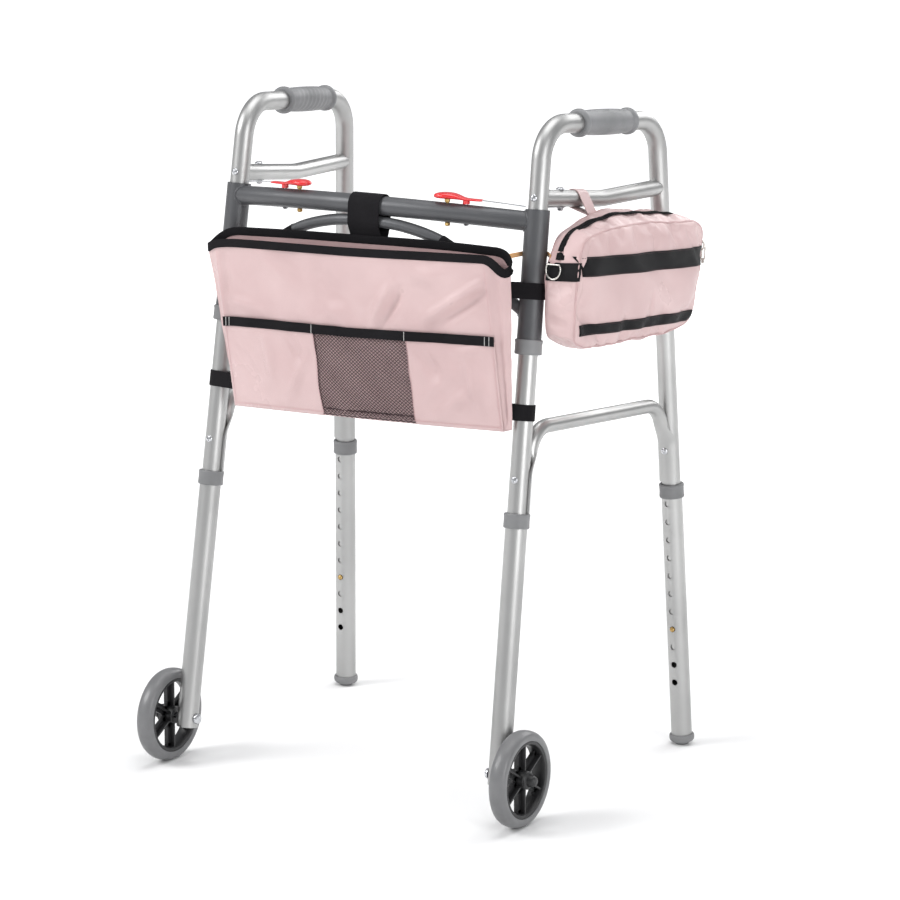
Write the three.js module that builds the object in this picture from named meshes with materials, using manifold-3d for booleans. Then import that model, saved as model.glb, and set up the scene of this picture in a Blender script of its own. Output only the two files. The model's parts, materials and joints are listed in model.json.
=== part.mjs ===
// Folding walking frame: two-wheel front, telescopic legs, hanging tote and side pouch.
// Units are millimetres. +Z is up, +X is the user's left-to-right when seen from the front,
// the front faces -Y and the user stands on the +Y side. The origin is on the floor, under the
// middle of the frame's box.
import * as THREE from 'three';
import { mergeVertices } from 'three/addons/utils/BufferGeometryUtils.js';
import Module from 'manifold-3d';

const wasm = await Module();
wasm.setup();

// ---------- driving dimensions ----------
const GAP = 0.3; // space left between touching pieces
const TUBE_R = 12.7; // side tube, 25.4 mm outside
const TUBE_BORE_R = 11.2;
const LEG_R = 14.3; // leg extension, 28.6 mm outside
const LEG_BORE_R = 13.2;
const SLEEVE_R = 15.9; // hinge sleeves of the front assembly
const SLEEVE_BORE_R = 13.25;
const SIDES = 12; // facets round a tube
const HANDLE_BEND_R = 50;
const HOLE_PITCH = 25.4;
const HOLES_PER_LEG = 11;
const BUTTON_HOLE = 7; // index of the hole that the snap button sits in
const BUTTON_R = 3.6;
const BUTTON_HOLE_R = 4.3;
const SCREW_SHANK_R = 2;
const SCREW_HOLE_R = 2.5;
const WHEEL_R = 63.5; // 127 mm wheels
const WHEEL_OFFSET = 31; // leg axis to the wheel's mid plane
const BAR_R = 12.7;
const ARCH_R = 7.5;
const UPPER_BRACE_R = 11;
const LOWER_BRACE_R = 9.5;

// side frames: each lies in one plane, open a little to the rear and to the floor
const TOP_Z = 800; // reference height of the side frame's sizes
const HALF_WIDTH = 232.6; // half the distance between the front tubes at TOP_Z
const YAW = 0.0696; // how fast the plane opens to the rear
const SPLAY = 0.032; // and to the floor
const FRONT_LEAN = 0.1602;
const REAR_LEAN = 0.0464;
const REAR_Y = 280.2; // rear tube behind the front tube, at TOP_Z
const FRONT_TUBE_END_Z = 160;
const REAR_TUBE_END_Z = 130;
const FRONT_COLLAR_Z = 389;
const REAR_COLLAR_Z = 362;
const FRONT_LEG_END_Z = 51;
const REAR_LEG_END_Z = 6;
const HANDLE_FRONT = [14.4, 890]; // corner of the handle bend, as y and z
const HANDLE_REAR = [277, 870];

// where the frame's box is centred, so that the origin is under its middle
const ORIGIN_X = 12.39;
const ORIGIN_Y = 76.4;

// colour, roughness and metalness of each finish
const FINISH = {
  aluminium: [0xc9cbce, 0.35, 0.9],
  painted: [0x55575b, 0.45, 0.3],
  grey_plastic: [0x8b8d8f, 0.55, 0],
  grip: [0x77797c, 0.7, 0],
  tyre: [0x8d8f92, 0.75, 0],
  hub: [0x1c1c1e, 0.5, 0],
  steel: [0xb9bbbd, 0.3, 1],
  brass: [0xa88445, 0.35, 1],
  red_plastic: [0xd8262e, 0.3, 0],
  tote_fabric: [0xe6c8c8, 0.6, 0],
  webbing: [0x1b1a1c, 0.85, 0],
};

const walker = new THREE.Group();
walker.position.set(-ORIGIN_X, -ORIGIN_Y, 0);

// ---------- solids ----------
const v3 = (x, y, z) => new THREE.Vector3(x, y, z);

/** A closed three.js geometry as a solid, with its faces turned outwards. */
function solid(geometry) {
  const plain = geometry.index ? geometry.toNonIndexed() : geometry.clone();
  for (const name of Object.keys(plain.attributes)) {
    if (name !== 'position') plain.deleteAttribute(name);
  }
  const merged = mergeVertices(plain, 1e-3);
  const points = merged.attributes.position.array;
  const faces = new Uint32Array(merged.index.array);
  const corner = (i) => v3().fromArray(points, 3 * faces[i]);
  let volume = 0;
  for (let i = 0; i < faces.length; i += 3) {
    volume += corner(i).dot(corner(i + 1).cross(corner(i + 2)));
  }
  if (volume < 0) {
    for (let i = 0; i < faces.length; i += 3) {
      [faces[i], faces[i + 1]] = [faces[i + 1], faces[i]];
    }
  }
  const options = { numProp: 3, vertProperties: new Float32Array(points), triVerts: faces };
  return new wasm.Manifold(new wasm.Mesh(options));
}

/** Adds a solid to the walker as one named mesh. */
function add(name, body, finish) {
  const mesh = body.getMesh();
  const geometry = new THREE.BufferGeometry();
  geometry.setAttribute('position', new THREE.BufferAttribute(mesh.vertProperties, 3));
  geometry.setIndex(new THREE.BufferAttribute(mesh.triVerts, 1));
  geometry.computeVertexNormals();
  const [color, roughness, metalness] = FINISH[finish];
  const material = new THREE.MeshStandardMaterial({ color, roughness, metalness });
  const node = new THREE.Mesh(geometry, material);
  node.name = name;
  walker.add(node);
}

/** A path that is given by the stations where its cross-sections stand. */
class StationPath extends THREE.Curve {
  constructor(stations) {
    super();
    this.stations = stations;
  }

  station(u) {
    return this.stations[Math.round(u * (this.stations.length - 1))];
  }

  getPoint(u) {
    return this.station(u).point.clone();
  }

  getPointAt(u) {
    return this.getPoint(u);
  }

  getTangentAt(u) {
    return this.station(u).tangent.clone();
  }
}

/** Straight runs between points, with each inner corner rounded to a radius. */
function bentPath(points, radius, arcSteps) {
  const stations = [];
  const direction = (i) => points[i + 1].clone().sub(points[i]).normalize();
  stations.push({ point: points[0], tangent: direction(0) });
  for (let i = 1; i < points.length - 1; i += 1) {
    const before = direction(i - 1);
    const after = direction(i);
    const turn = before.angleTo(after);
    const inset = radius * Math.tan(turn / 2);
    const normal = after.clone().addScaledVector(before, -before.dot(after)).normalize();
    const start = points[i].clone().addScaledVector(before, -inset);
    for (let k = 0; k <= arcSteps; k += 1) {
      const angle = (turn * k) / arcSteps;
      const point = start.clone()
        .addScaledVector(before, radius * Math.sin(angle))
        .addScaledVector(normal, radius * (1 - Math.cos(angle)));
      const tangent = before.clone().multiplyScalar(Math.cos(angle))
        .addScaledVector(normal, Math.sin(angle));
      stations.push({ point, tangent });
    }
  }
  const last = points.length - 1;
  stations.push({ point: points[last], tangent: direction(last - 1) });
  return new StationPath(stations);
}

/** A smooth path through points, cut into equal steps. */
function smoothPath(points, steps) {
  const curve = new THREE.CatmullRomCurve3(points);
  const stations = [];
  for (let i = 0; i <= steps; i += 1) {
    stations.push({ point: curve.getPointAt(i / steps), tangent: curve.getTangentAt(i / steps) });
  }
  return new StationPath(stations);
}

function circle(radius, sides) {
  const points = [];
  for (let i = 0; i < sides; i += 1) {
    const angle = (2 * Math.PI * i) / sides;
    points.push(new THREE.Vector2(radius * Math.cos(angle), radius * Math.sin(angle)));
  }
  return points;
}

/** A round bar along a path, or a tube where it has a bore. */
function tube(path, radius, bore, sides = SIDES) {
  const section = new THREE.Shape(circle(radius, sides));
  if (bore) section.holes.push(new THREE.Path(circle(bore, sides)));
  const steps = path.stations.length - 1;
  const options = { steps, extrudePath: path, bevelEnabled: false };
  return solid(new THREE.ExtrudeGeometry(section, options));
}

const straight = (from, to) => bentPath([from, to], 0, 0);
const rod = (radius, from, to, sides = SIDES) => tube(straight(from, to), radius, 0, sides);

/** A shape turned about an axis through `at`: the profile is [radius, distance along the axis]. */
function turned(profile, at, axis, segments = 16) {
  const points = profile.map(([radius, along]) => new THREE.Vector2(radius, along));
  const geometry = new THREE.LatheGeometry(points, segments);
  const turn = new THREE.Quaternion().setFromUnitVectors(v3(0, 1, 0), axis);
  geometry.applyQuaternion(turn);
  geometry.translate(at.x, at.y, at.z);
  return solid(geometry);
}

const closed = (profile) => [...profile, profile[0]];

/** A box by its centre and size, turned so that its X runs along `along` and its Z is near up. */
function block(size, centre, along = v3(1, 0, 0)) {
  const x = along.clone().normalize();
  const y = v3(0, 0, 1).cross(x).normalize();
  const z = x.clone().cross(y);
  const geometry = new THREE.BoxGeometry(size.x, size.y, size.z);
  geometry.applyMatrix4(new THREE.Matrix4().makeBasis(x, y, z).setPosition(centre));
  return solid(geometry);
}

// ---------- the side frame's own places ----------
function onSide(side, y, z, out = 0) {
  return v3(side * (HALF_WIDTH + YAW * y + SPLAY * (TOP_Z - z) + out), y, z);
}

const frontAt = (side, z) => onSide(side, -FRONT_LEAN * (TOP_Z - z), z);
const rearAt = (side, z) => onSide(side, REAR_Y + REAR_LEAN * (TOP_Z - z), z);
const downOf = (axisAt, side) => axisAt(side, 0).sub(axisAt(side, TOP_Z)).normalize();

/** The direction square to a leg that is nearest to `towards`. */
function squareTo(axis, towards) {
  return towards.clone().addScaledVector(axis, -axis.dot(towards)).normalize();
}

// ---------- fasteners ----------
function screw(at, outward) {
  const profile = [
    [0, -5], [SCREW_SHANK_R, -5], [SCREW_SHANK_R, GAP], [5, GAP], [4, 2.1], [0, 2.9],
  ];
  return turned(profile, at, outward, 8);
}

const SCREW_HOLE_REACH = 7;
const screwHole = (at, outward) => rod(
  SCREW_HOLE_R,
  at.clone().addScaledVector(outward, -SCREW_HOLE_REACH),
  at.clone().addScaledVector(outward, SCREW_HOLE_REACH),
  6,
);

const FIRST_HOLE_DROP = 16.7; // the first hole below the middle of the collar

/** The snap button's place: on a face of the tube, at one of the leg's holes. */
function holePlace(axisAt, side, collarZ, facing, index) {
  const down = downOf(axisAt, side);
  const face = squareTo(down, v3(0, facing, 0));
  const firstHole = axisAt(side, collarZ - FIRST_HOLE_DROP);
  return { centre: firstHole.addScaledVector(down, HOLE_PITCH * index), face, down };
}

function buttonHole(place) {
  const { centre, face } = place;
  return rod(BUTTON_HOLE_R, centre.clone().addScaledVector(face, 6),
    centre.clone().addScaledVector(face, 20), 6);
}

function snapButton(place) {
  const profile = [[0, 7], [BUTTON_R, 7], [BUTTON_R, 15.4], [0, 17]];
  return turned(profile, place.centre, place.face, 8);
}

// ---------- side frames ----------
const LEGS = [
  { end: 'front', axisAt: frontAt, collarZ: FRONT_COLLAR_Z, endZ: FRONT_LEG_END_Z, facing: 1 },
  { end: 'rear', axisAt: rearAt, collarZ: REAR_COLLAR_Z, endZ: REAR_LEG_END_Z, facing: -1 },
];
const UPPER_SCREW_Z = 797;
const UPPER_BRACE = [[0, 797], [141, 780.5], [281, 779.5]];
const UPPER_BRACE_BEND_R = 160;
const BRACE_BOLT = [48, 791.4];
const LOWER_SCREW_Z = { front: 441, rear: 420 };
const LOWER_BRACE_FRONT_TOP = [-4, 506];
const LOWER_BRACE_REAR_TOP = [279, 487];
const SADDLE_BORE_R = TUBE_R + 0.45;
const SADDLE_R = TUBE_R + 3.6;
const SADDLE_TOP_Z = 470;
const SADDLE_END_Z = { front: 402, rear: 377 };
const GRIP_MID_Y = { left: 166, right: 150 };

/** Half shell that hugs a leg: the flattened end of the lower brace. */
function saddle(axisAt, side, facing, fromZ, toZ) {
  const top = axisAt(side, fromZ);
  const low = axisAt(side, toZ);
  const axis = low.clone().sub(top).normalize();
  const shell = tube(straight(top, low), SADDLE_R, SADDLE_BORE_R);
  const face = squareTo(axis, v3(0, facing, 0));
  // the shell is kept on the side that faces the other leg
  const keepSize = v3(60, 40, 200);
  const middle = top.clone().add(low).multiplyScalar(0.5).addScaledVector(face, keepSize.y / 2 + 2);
  return shell.intersect(block(keepSize, middle));
}

/** The round of the lower brace, from one saddle over to the other. */
function lowerBrace(side) {
  const out = SADDLE_BORE_R + LOWER_BRACE_R;
  const frontLow = frontAt(side, SADDLE_TOP_Z - 24);
  const rearLow = rearAt(side, SADDLE_TOP_Z - 24);
  frontLow.y += TUBE_R - 2;
  rearLow.y -= TUBE_R - 2;
  const frontHip = frontAt(side, SADDLE_TOP_Z + 8);
  const rearHip = rearAt(side, SADDLE_TOP_Z - 4);
  frontHip.y += out;
  rearHip.y -= out;
  const points = [
    frontLow,
    frontHip,
    onSide(side, ...LOWER_BRACE_FRONT_TOP),
    onSide(side, ...LOWER_BRACE_REAR_TOP),
    rearHip,
    rearLow,
  ];
  points[2].y = frontHip.y + 6;
  points[3].y = rearHip.y - 4;
  const path = bentPath(points, 14, 2);
  let brace = tube(path, LOWER_BRACE_R, 0, 8);
  for (const { end, axisAt, facing } of LEGS) {
    const clearance = rod(SADDLE_BORE_R, axisAt(side, 540), axisAt(side, 370));
    brace = brace.add(saddle(axisAt, side, facing, SADDLE_TOP_Z, SADDLE_END_Z[end]));
    brace = brace.subtract(clearance);
  }
  return brace;
}

function addSideFrame(side, name) {
  const corners = [
    frontAt(side, FRONT_TUBE_END_Z),
    onSide(side, ...HANDLE_FRONT),
    onSide(side, ...HANDLE_REAR),
    rearAt(side, REAR_TUBE_END_Z),
  ];
  let sideTube = tube(bentPath(corners, HANDLE_BEND_R, 5), TUBE_R, TUBE_BORE_R);

  // legs: each extension slides over the side tube and is held by a snap button in one hole
  for (const { end, axisAt, collarZ, endZ, facing } of LEGS) {
    let leg = tube(straight(axisAt(side, collarZ + 7), axisAt(side, endZ)), LEG_R, LEG_BORE_R);
    for (let i = 0; i < HOLES_PER_LEG; i += 1) {
      leg = leg.subtract(buttonHole(holePlace(axisAt, side, collarZ, facing, i)));
    }
    const seat = holePlace(axisAt, side, collarZ, facing, BUTTON_HOLE);
    sideTube = sideTube.subtract(buttonHole(seat));
    add(`${name}_${end}_button`, snapButton(seat), 'brass');
    if (end === 'front') leg = leg.subtract(axleHole(side));
    add(`${name}_${end}_leg`, leg, 'aluminium');

    const collar = closed([
      [15, -9], [16.9, -9], [16.9, 9.4], [13.3, 9.4], [13.3, 7.6], [15, 7.6],
    ]);
    const upwards = seat.down.clone().negate();
    add(`${name}_${end}_collar`, turned(collar, axisAt(side, collarZ), upwards), 'grey_plastic');
  }

  // handle grip
  const handle = onSide(side, ...HANDLE_REAR).sub(onSide(side, ...HANDLE_FRONT));
  const along = handle.clone().normalize();
  const gripY = GRIP_MID_Y[name];
  const share = (gripY - HANDLE_FRONT[0]) / (HANDLE_REAR[0] - HANDLE_FRONT[0]);
  const gripAt = onSide(side, ...HANDLE_FRONT).addScaledVector(handle, share);
  const grip = closed([
    [13.2, -62], [18.6, -61], [18.6, -57], [15.6, -54], [17.2, 0], [15.4, 50], [17.8, 53],
    [17.8, 59], [13.2, 60],
  ]);
  add(`${name}_grip`, turned(grip, gripAt, along), 'grip');

  // upper brace, fish-mouthed onto both uprights
  const bracePoints = UPPER_BRACE.map(([y, z]) => onSide(side, y, z));
  const braceCurve = bentPath(bracePoints, UPPER_BRACE_BEND_R, 2);
  let upperBrace = tube(braceCurve, UPPER_BRACE_R, UPPER_BRACE_R - 1.5);
  for (const axisAt of [frontAt, rearAt]) {
    upperBrace = upperBrace.subtract(rod(TUBE_R + 0.5, axisAt(side, 850), axisAt(side, 700)));
  }
  const boltAt = onSide(side, ...BRACE_BOLT);
  const up = v3(0, 0, 1);
  upperBrace = upperBrace.subtract(rod(2.6, boltAt.clone().addScaledVector(up, -16),
    boltAt.clone().addScaledVector(up, 16), 6));
  add(`${name}_upper_brace`, upperBrace, 'aluminium');
  const braceBolt = [
    [0, -15.5], [3.8, -15.5], [3.8, -11.8], [2, -11.8], [2, 11.8], [4.6, 11.8], [0, 14.4],
  ];
  add(`${name}_brace_bolt`, turned(braceBolt, boltAt, up, 8), 'steel');

  // screws that hold the braces to the side tube
  const frontDown = downOf(frontAt, side);
  const rearDown = downOf(rearAt, side);
  const screws = [
    ['upper_screw', frontAt(side, UPPER_SCREW_Z), squareTo(frontDown, v3(0, -1, 0)), TUBE_R],
    ['lower_front_screw', frontAt(side, LOWER_SCREW_Z.front), squareTo(frontDown, v3(0, -1, 0)),
      TUBE_R],
    ['lower_rear_screw', rearAt(side, LOWER_SCREW_Z.rear), squareTo(rearDown, v3(0, -1, 0)),
      SADDLE_R],
  ];
  let lower = lowerBrace(side);
  for (const [label, centre, outward, radius] of screws) {
    const at = centre.clone().addScaledVector(outward, radius);
    const hole = screwHole(at, outward);
    sideTube = sideTube.subtract(hole);
    if (label === 'lower_rear_screw') lower = lower.subtract(hole);
    add(`${name}_${label}`, screw(at, outward), 'steel');
  }
  add(`${name}_lower_brace`, lower, 'aluminium');
  add(`${name}_side_tube`, sideTube, 'aluminium');
}

// ---------- wheels ----------
const AXLE_R = 4;
const SPOKES = 5;
const SPOKE_SIZE = [12, 36, 8];
const SPOKE_MID_R = 29;
const axleAt = (side) => frontAt(side, WHEEL_R);

function axleHole(side) {
  const centre = axleAt(side);
  const reach = v3(25, 0, 0);
  return rod(AXLE_R + 0.4, centre.clone().sub(reach), centre.clone().add(reach), 10);
}

function addWheel(side, name) {
  const leg = axleAt(side);
  const centre = leg.clone().add(v3(side * WHEEL_OFFSET, 0, 0));
  const outward = v3(side, 0, 0);
  const tyre = closed([
    [51.4, -11.5], [58, -11.5], [WHEEL_R, -4], [WHEEL_R, 4], [58, 11.5], [51.4, 11.5],
  ]);
  add(`${name}_tyre`, turned(tyre, centre, outward, 32), 'tyre');

  const rimProfile = closed([[45.5, -9.5], [51, -9.5], [51, 9.5], [45.5, 9.5]]);
  const rim = turned(rimProfile, centre, outward, 32);
  const boss = turned(closed([[4.6, -11.5], [12, -11.5], [12, 11.5], [4.6, 11.5]]), centre, outward);
  let hub = rim.add(boss);
  for (let i = 0; i < SPOKES; i += 1) {
    const angle = (2 * Math.PI * i) / SPOKES;
    const radial = v3(0, Math.cos(angle), Math.sin(angle));
    const geometry = new THREE.BoxGeometry(...SPOKE_SIZE);
    geometry.rotateX(angle);
    const spokeAt = centre.clone().addScaledVector(radial, SPOKE_MID_R);
    geometry.translate(spokeAt.x, spokeAt.y, spokeAt.z);
    hub = hub.add(solid(geometry));
  }
  add(`${name}_hub`, hub, 'hub');

  const inner = -LEG_R - 0.4; // the axle's head bears on the leg's inner face
  const axle = [
    [0, inner - 4.5], [7, inner - 2.4], [7, inner], [AXLE_R, inner],
    [AXLE_R, WHEEL_OFFSET + 24], [0, WHEEL_OFFSET + 24],
  ];
  add(`${name}_axle`, turned(axle, leg, outward, 10), 'steel');
  const nut = closed([
    [AXLE_R + GAP, 12.2], [11, 12.2], [7.5, 14.6], [7, 22.5], [AXLE_R + GAP, 22.5],
  ]);
  add(`${name}_axle_nut`, turned(nut, centre, outward, 10), 'hub');
}

// ---------- rear tips ----------
const TIP_LIP_R = 17.4;
const TIP_TOP = 15;
const TIP_SOCKET_FLOOR = 5.4;

function addTip(side, name) {
  const foot = rearAt(side, 0);
  const up = downOf(rearAt, side).negate();
  // a narrow foot under a rounded lip that is wider than the leg
  const outer = [
    [0, -4], [9.5, -4], [9.5, 1.6], [16.6, 6], [TIP_LIP_R, 8.5], [TIP_LIP_R, 12.5], [16.2, TIP_TOP],
    [0, TIP_TOP],
  ];
  const floorCut = block(v3(80, 80, 20), v3(foot.x, foot.y, -10));
  const socket = rod(LEG_R + GAP, foot.clone().addScaledVector(up, TIP_SOCKET_FLOOR),
    foot.clone().addScaledVector(up, 60));
  const tip = turned(outer, foot, up).subtract(floorCut).subtract(socket);
  add(`${name}_rear_tip`, tip, 'grey_plastic');
}

// ---------- front assembly ----------
const BAR_Z = 766.9;
const BAR_HALF_LENGTH = 230;
const BAR_END_Y = -5.4;
const BAR_BOW = 35; // the bar and the arch bow forwards between the uprights
const BAR_RISE = 9;
const SLEEVE_TOP_Z = 782.8;
const SLEEVE_END_Z = 600;
const barAt = (x) => {
  const bow = 1 - (x / HALF_WIDTH) ** 2;
  return v3(x, BAR_END_Y - BAR_BOW * bow, BAR_Z + BAR_RISE * bow);
};
const PADDLE_BOLT_X = 115;
const PADDLE_PIVOT_X = 141;
const TONGUE_MIDDLE = 6;
const TONGUE_LENGTH = 34;
const STRIP_SIZE = [5.5, 1];
const STRIP_END_Z = 784.6;
const ARCH_POINTS = [[222, 655], [205, 669], [150, 712], [110, 737.5], [55, 752.5]];
const ARCH_TOP_Z = 755.8;
const ARCH_HALF_SPAN = 226;
const ARCH_BOW = 40;
const archAt = ([x, z]) => {
  const bow = 1 - (x / ARCH_HALF_SPAN) ** 2;
  return v3(x, -FRONT_LEAN * (TOP_Z - z) - ARCH_BOW * bow, z);
};

const sleeveClearance = (side) => rod(SLEEVE_R + GAP, frontAt(side, 860), frontAt(side, 540));

function addFrontAssembly() {
  const barPoints = [];
  for (let i = -5; i <= 5; i += 1) {
    barPoints.push(barAt((i * BAR_HALF_LENGTH) / 5));
  }
  let bar = tube(smoothPath(barPoints, 8), BAR_R, BAR_R - 1.6);
  let arch = tube(smoothPath([
    ...ARCH_POINTS.map(([x, z]) => archAt([-x, z])),
    archAt([0, ARCH_TOP_Z]),
    ...ARCH_POINTS.toReversed().map(archAt),
  ], 16), ARCH_R, ARCH_R - 1.5, 8);
  for (const side of [-1, 1]) {
    bar = bar.subtract(sleeveClearance(side));
    arch = arch.subtract(sleeveClearance(side));
  }
  for (const side of [-1, 1]) {
    for (const x of [PADDLE_BOLT_X, PADDLE_PIVOT_X]) {
      const at = barAt(side * x);
      const reach = v3(0, 0, 20);
      bar = bar.subtract(rod(2.7, at.clone().sub(reach), at.clone().add(reach), 6));
    }
  }
  add('cross_bar', bar, 'painted');
  add('arch_brace', arch, 'painted');
}

function addSleeve(side, name) {
  const top = frontAt(side, SLEEVE_TOP_Z);
  const end = frontAt(side, SLEEVE_END_Z + 10);
  add(`${name}_sleeve`, tube(straight(top, end), SLEEVE_R, SLEEVE_BORE_R), 'painted');
  const collar = closed([
    [13.3, -9.6], [18, -9.6], [18, 9.6], [16.6, 9.6], [16.6, -1], [13.3, -1],
  ]);
  const collarAt = frontAt(side, SLEEVE_END_Z + 9.6);
  const up = downOf(frontAt, side).negate();
  add(`${name}_sleeve_collar`, turned(collar, collarAt, up), 'grey_plastic');
}

/** Red lever on the cross bar: the oval end is pressed and the tongue lifts the latch strip. */
function addRelease(side, name) {
  const pivot = barAt(side * PADDLE_PIVOT_X);
  const bolt = barAt(side * PADDLE_BOLT_X);
  const inwards = bolt.clone().sub(pivot).setZ(0).normalize();
  const barTop = pivot.z + BAR_R;
  const footAt = v3(pivot.x, pivot.y, barTop + 3.2);
  const foot = block(v3(9.6, 9.6, 4.8), footAt, inwards);
  const tongueAt = v3(pivot.x, pivot.y, barTop + 6.5).addScaledVector(inwards, -TONGUE_MIDDLE);
  const tongue = block(v3(TONGUE_LENGTH, 12, 3), tongueAt, inwards);
  const oval = [[0, 0], [10, 1.4], [11, 4.5], [6, 8.4], [0, 9]];
  const pads = [12, 23, 33].map((along) => {
    const at = v3(pivot.x, pivot.y, barTop + 6.2).addScaledVector(inwards, along);
    return turned(oval, at, v3(0, 0, 1), 12);
  });
  let paddle = foot.add(tongue);
  for (const pad of pads) paddle = paddle.add(pad);
  const boltWell = rod(5.2, v3(bolt.x, bolt.y, bolt.z + 5), v3(bolt.x, bolt.y, barTop + 8.6));
  const rivetWell = rod(3.2, pivot, v3(pivot.x, pivot.y, barTop + 5.3), 6);
  add(`${name}_release_paddle`, paddle.subtract(boltWell).subtract(rivetWell), 'red_plastic');

  // spring-steel strip from the tongue to the face of the side tube
  const upright = frontAt(side, STRIP_END_Z);
  const tongueEnd = TONGUE_MIDDLE + TONGUE_LENGTH / 2 + 1;
  const from = v3(pivot.x, pivot.y, barTop + 6.5).addScaledVector(inwards, -tongueEnd);
  const towards = upright.clone().sub(from);
  const reach = towards.length() - TUBE_R - 3.4;
  const strip = towards.normalize();
  const middle = from.clone().addScaledVector(strip, reach / 2);
  add(`${name}_latch_strip`, block(v3(reach, ...STRIP_SIZE), middle, strip), 'steel');

  const brassBolt = [
    [0, -17.5], [3.4, -17.5], [3.4, -13.2], [2.3, -13.2], [2.3, 13.4], [3.7, 13.4], [3.7, 18],
    [0, 18],
  ];
  const above = v3(0, 0, 1);
  add(`${name}_paddle_bolt`, turned(brassBolt, bolt, above, 8), 'brass');
  const rivet = [
    [0, -14.8], [3.6, -13.2], [2, -13.2], [2, BAR_R + 4.4], [0, BAR_R + 4.4],
  ];
  add(`${name}_paddle_rivet`, turned(rivet, pivot, above, 8), 'steel');
}

// ---------- tote bag and its straps ----------
const TOTE = {
  top: { left: -228, right: 230, front: -72, back: -54, frontZ: 711, backZ: 729 },
  bottom: { left: -200, right: 222, front: -67, back: -56, z: 494 },
  wall: 1.2,
};

/** The bag's outline as a solid, shrunk by `inset` and carried up to `extra` above its rim. */
function toteShape(inset, extra) {
  const { top, bottom } = TOTE;
  const geometry = new THREE.BoxGeometry(1, 1, 1);
  const position = geometry.attributes.position;
  for (let i = 0; i < position.count; i += 1) {
    const upper = position.getZ(i) > 0;
    const ring = upper ? top : bottom;
    const x = position.getX(i) < 0 ? ring.left + inset : ring.right - inset;
    const atFront = position.getY(i) < 0;
    const y = atFront ? ring.front + inset : ring.back - inset;
    const rimZ = atFront ? top.frontZ : top.backZ;
    position.setXYZ(i, x, y, upper ? rimZ + extra : bottom.z + inset);
  }
  return solid(geometry);
}

/** Flat webbing loop round a tube, with a tab that runs to the bag. */
function strapLoop(centreAt, radius, z, width, tabTo) {
  const axis = centreAt(z - 50).sub(centreAt(z + 50)).normalize();
  const half = (width / 2) * Math.abs(1 / axis.z);
  const loop = tube(straight(centreAt(z + half), centreAt(z - half)), radius + 1.6, radius);
  const clear = rod(radius, centreAt(z + 80), centreAt(z - 80));
  const start = centreAt(z);
  start.y -= radius + 0.8;
  const run = tabTo.clone().sub(start);
  const tab = block(v3(run.length(), 1.5, width), start.clone().addScaledVector(run, 0.5), run);
  return loop.add(tab.subtract(clear));
}

const STRAP_WIDTH = 21;
const UPPER_STRAP_Z = 680;
const LOWER_STRAPS = [
  { side: -1, name: 'left', z: 524, tabX: -204.5 },
  { side: 1, name: 'right', z: 529, tabX: 224.5 },
];

function addTote() {
  const bag = toteShape(0, 0).subtract(toteShape(TOTE.wall, 8));
  add('tote_bag', bag, 'tote_fabric');
  for (const { side, name, z, tabX } of LOWER_STRAPS) {
    const around = (height) => frontAt(side, height);
    const upperTab = v3(side * 206, -53.2, UPPER_STRAP_Z);
    const upperLoop = strapLoop(around, SLEEVE_R + 0.5, UPPER_STRAP_Z, STRAP_WIDTH, upperTab);
    const lowerLoop = strapLoop(around, TUBE_R + 0.5, z, STRAP_WIDTH, v3(tabX, -62, z));
    add(`tote_upper_${name}_strap`, upperLoop, 'webbing');
    add(`tote_lower_${name}_strap`, lowerLoop.subtract(toteShape(-GAP, 0)), 'webbing');
  }
}

const BAND = { width: 50, skin: 1.5, slack: 1.4, endZ: 730, frontY: -58, backY: -49.6 };

/** Wide band that hangs the bag's back panel from the cross bar and passes round the arch. */
function addCentreStrap() {
  const { y, z } = barAt(0);
  const arch = archAt([0, ARCH_TOP_Z]);
  const ring = (radius, inset) => {
    const points = [];
    for (let degrees = -40; degrees <= 180; degrees += 22) {
      const angle = THREE.MathUtils.degToRad(degrees);
      points.push(new THREE.Vector2(y + radius * Math.cos(angle), z + radius * Math.sin(angle)));
    }
    points.push(new THREE.Vector2(arch.y - ARCH_R - (radius - BAR_R), arch.z));
    points.push(new THREE.Vector2(BAND.frontY + inset, BAND.endZ + inset));
    points.push(new THREE.Vector2(BAND.backY - inset, BAND.endZ + inset));
    return points;
  };
  const outline = new THREE.Shape(ring(BAR_R + BAND.slack + BAND.skin, 0));
  outline.holes.push(new THREE.Path(ring(BAR_R + BAND.slack, BAND.skin)));
  const options = { depth: BAND.width, bevelEnabled: false };
  const geometry = new THREE.ExtrudeGeometry(outline, options);
  // the outline is drawn in Y and Z and drawn out along X
  const toYZ = new THREE.Matrix4().makeBasis(v3(0, 1, 0), v3(0, 0, 1), v3(1, 0, 0));
  geometry.applyMatrix4(toYZ);
  geometry.translate(-BAND.width / 2, 0, 0);
  add('tote_centre_strap', solid(geometry), 'webbing');
}

// ---------- side pouch ----------
const POUCH = { inner: 22, outer: 72, loopY: 82, loopZ: 787, loopWidth: 22 };
const POUCH_OUTLINE = [
  [-35, 612], [-17, 722], [6, 752], [44, 768], [130, 765], [215, 756], [262, 738], [269, 716],
  [246, 612], [160, 603], [20, 606],
];

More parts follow.
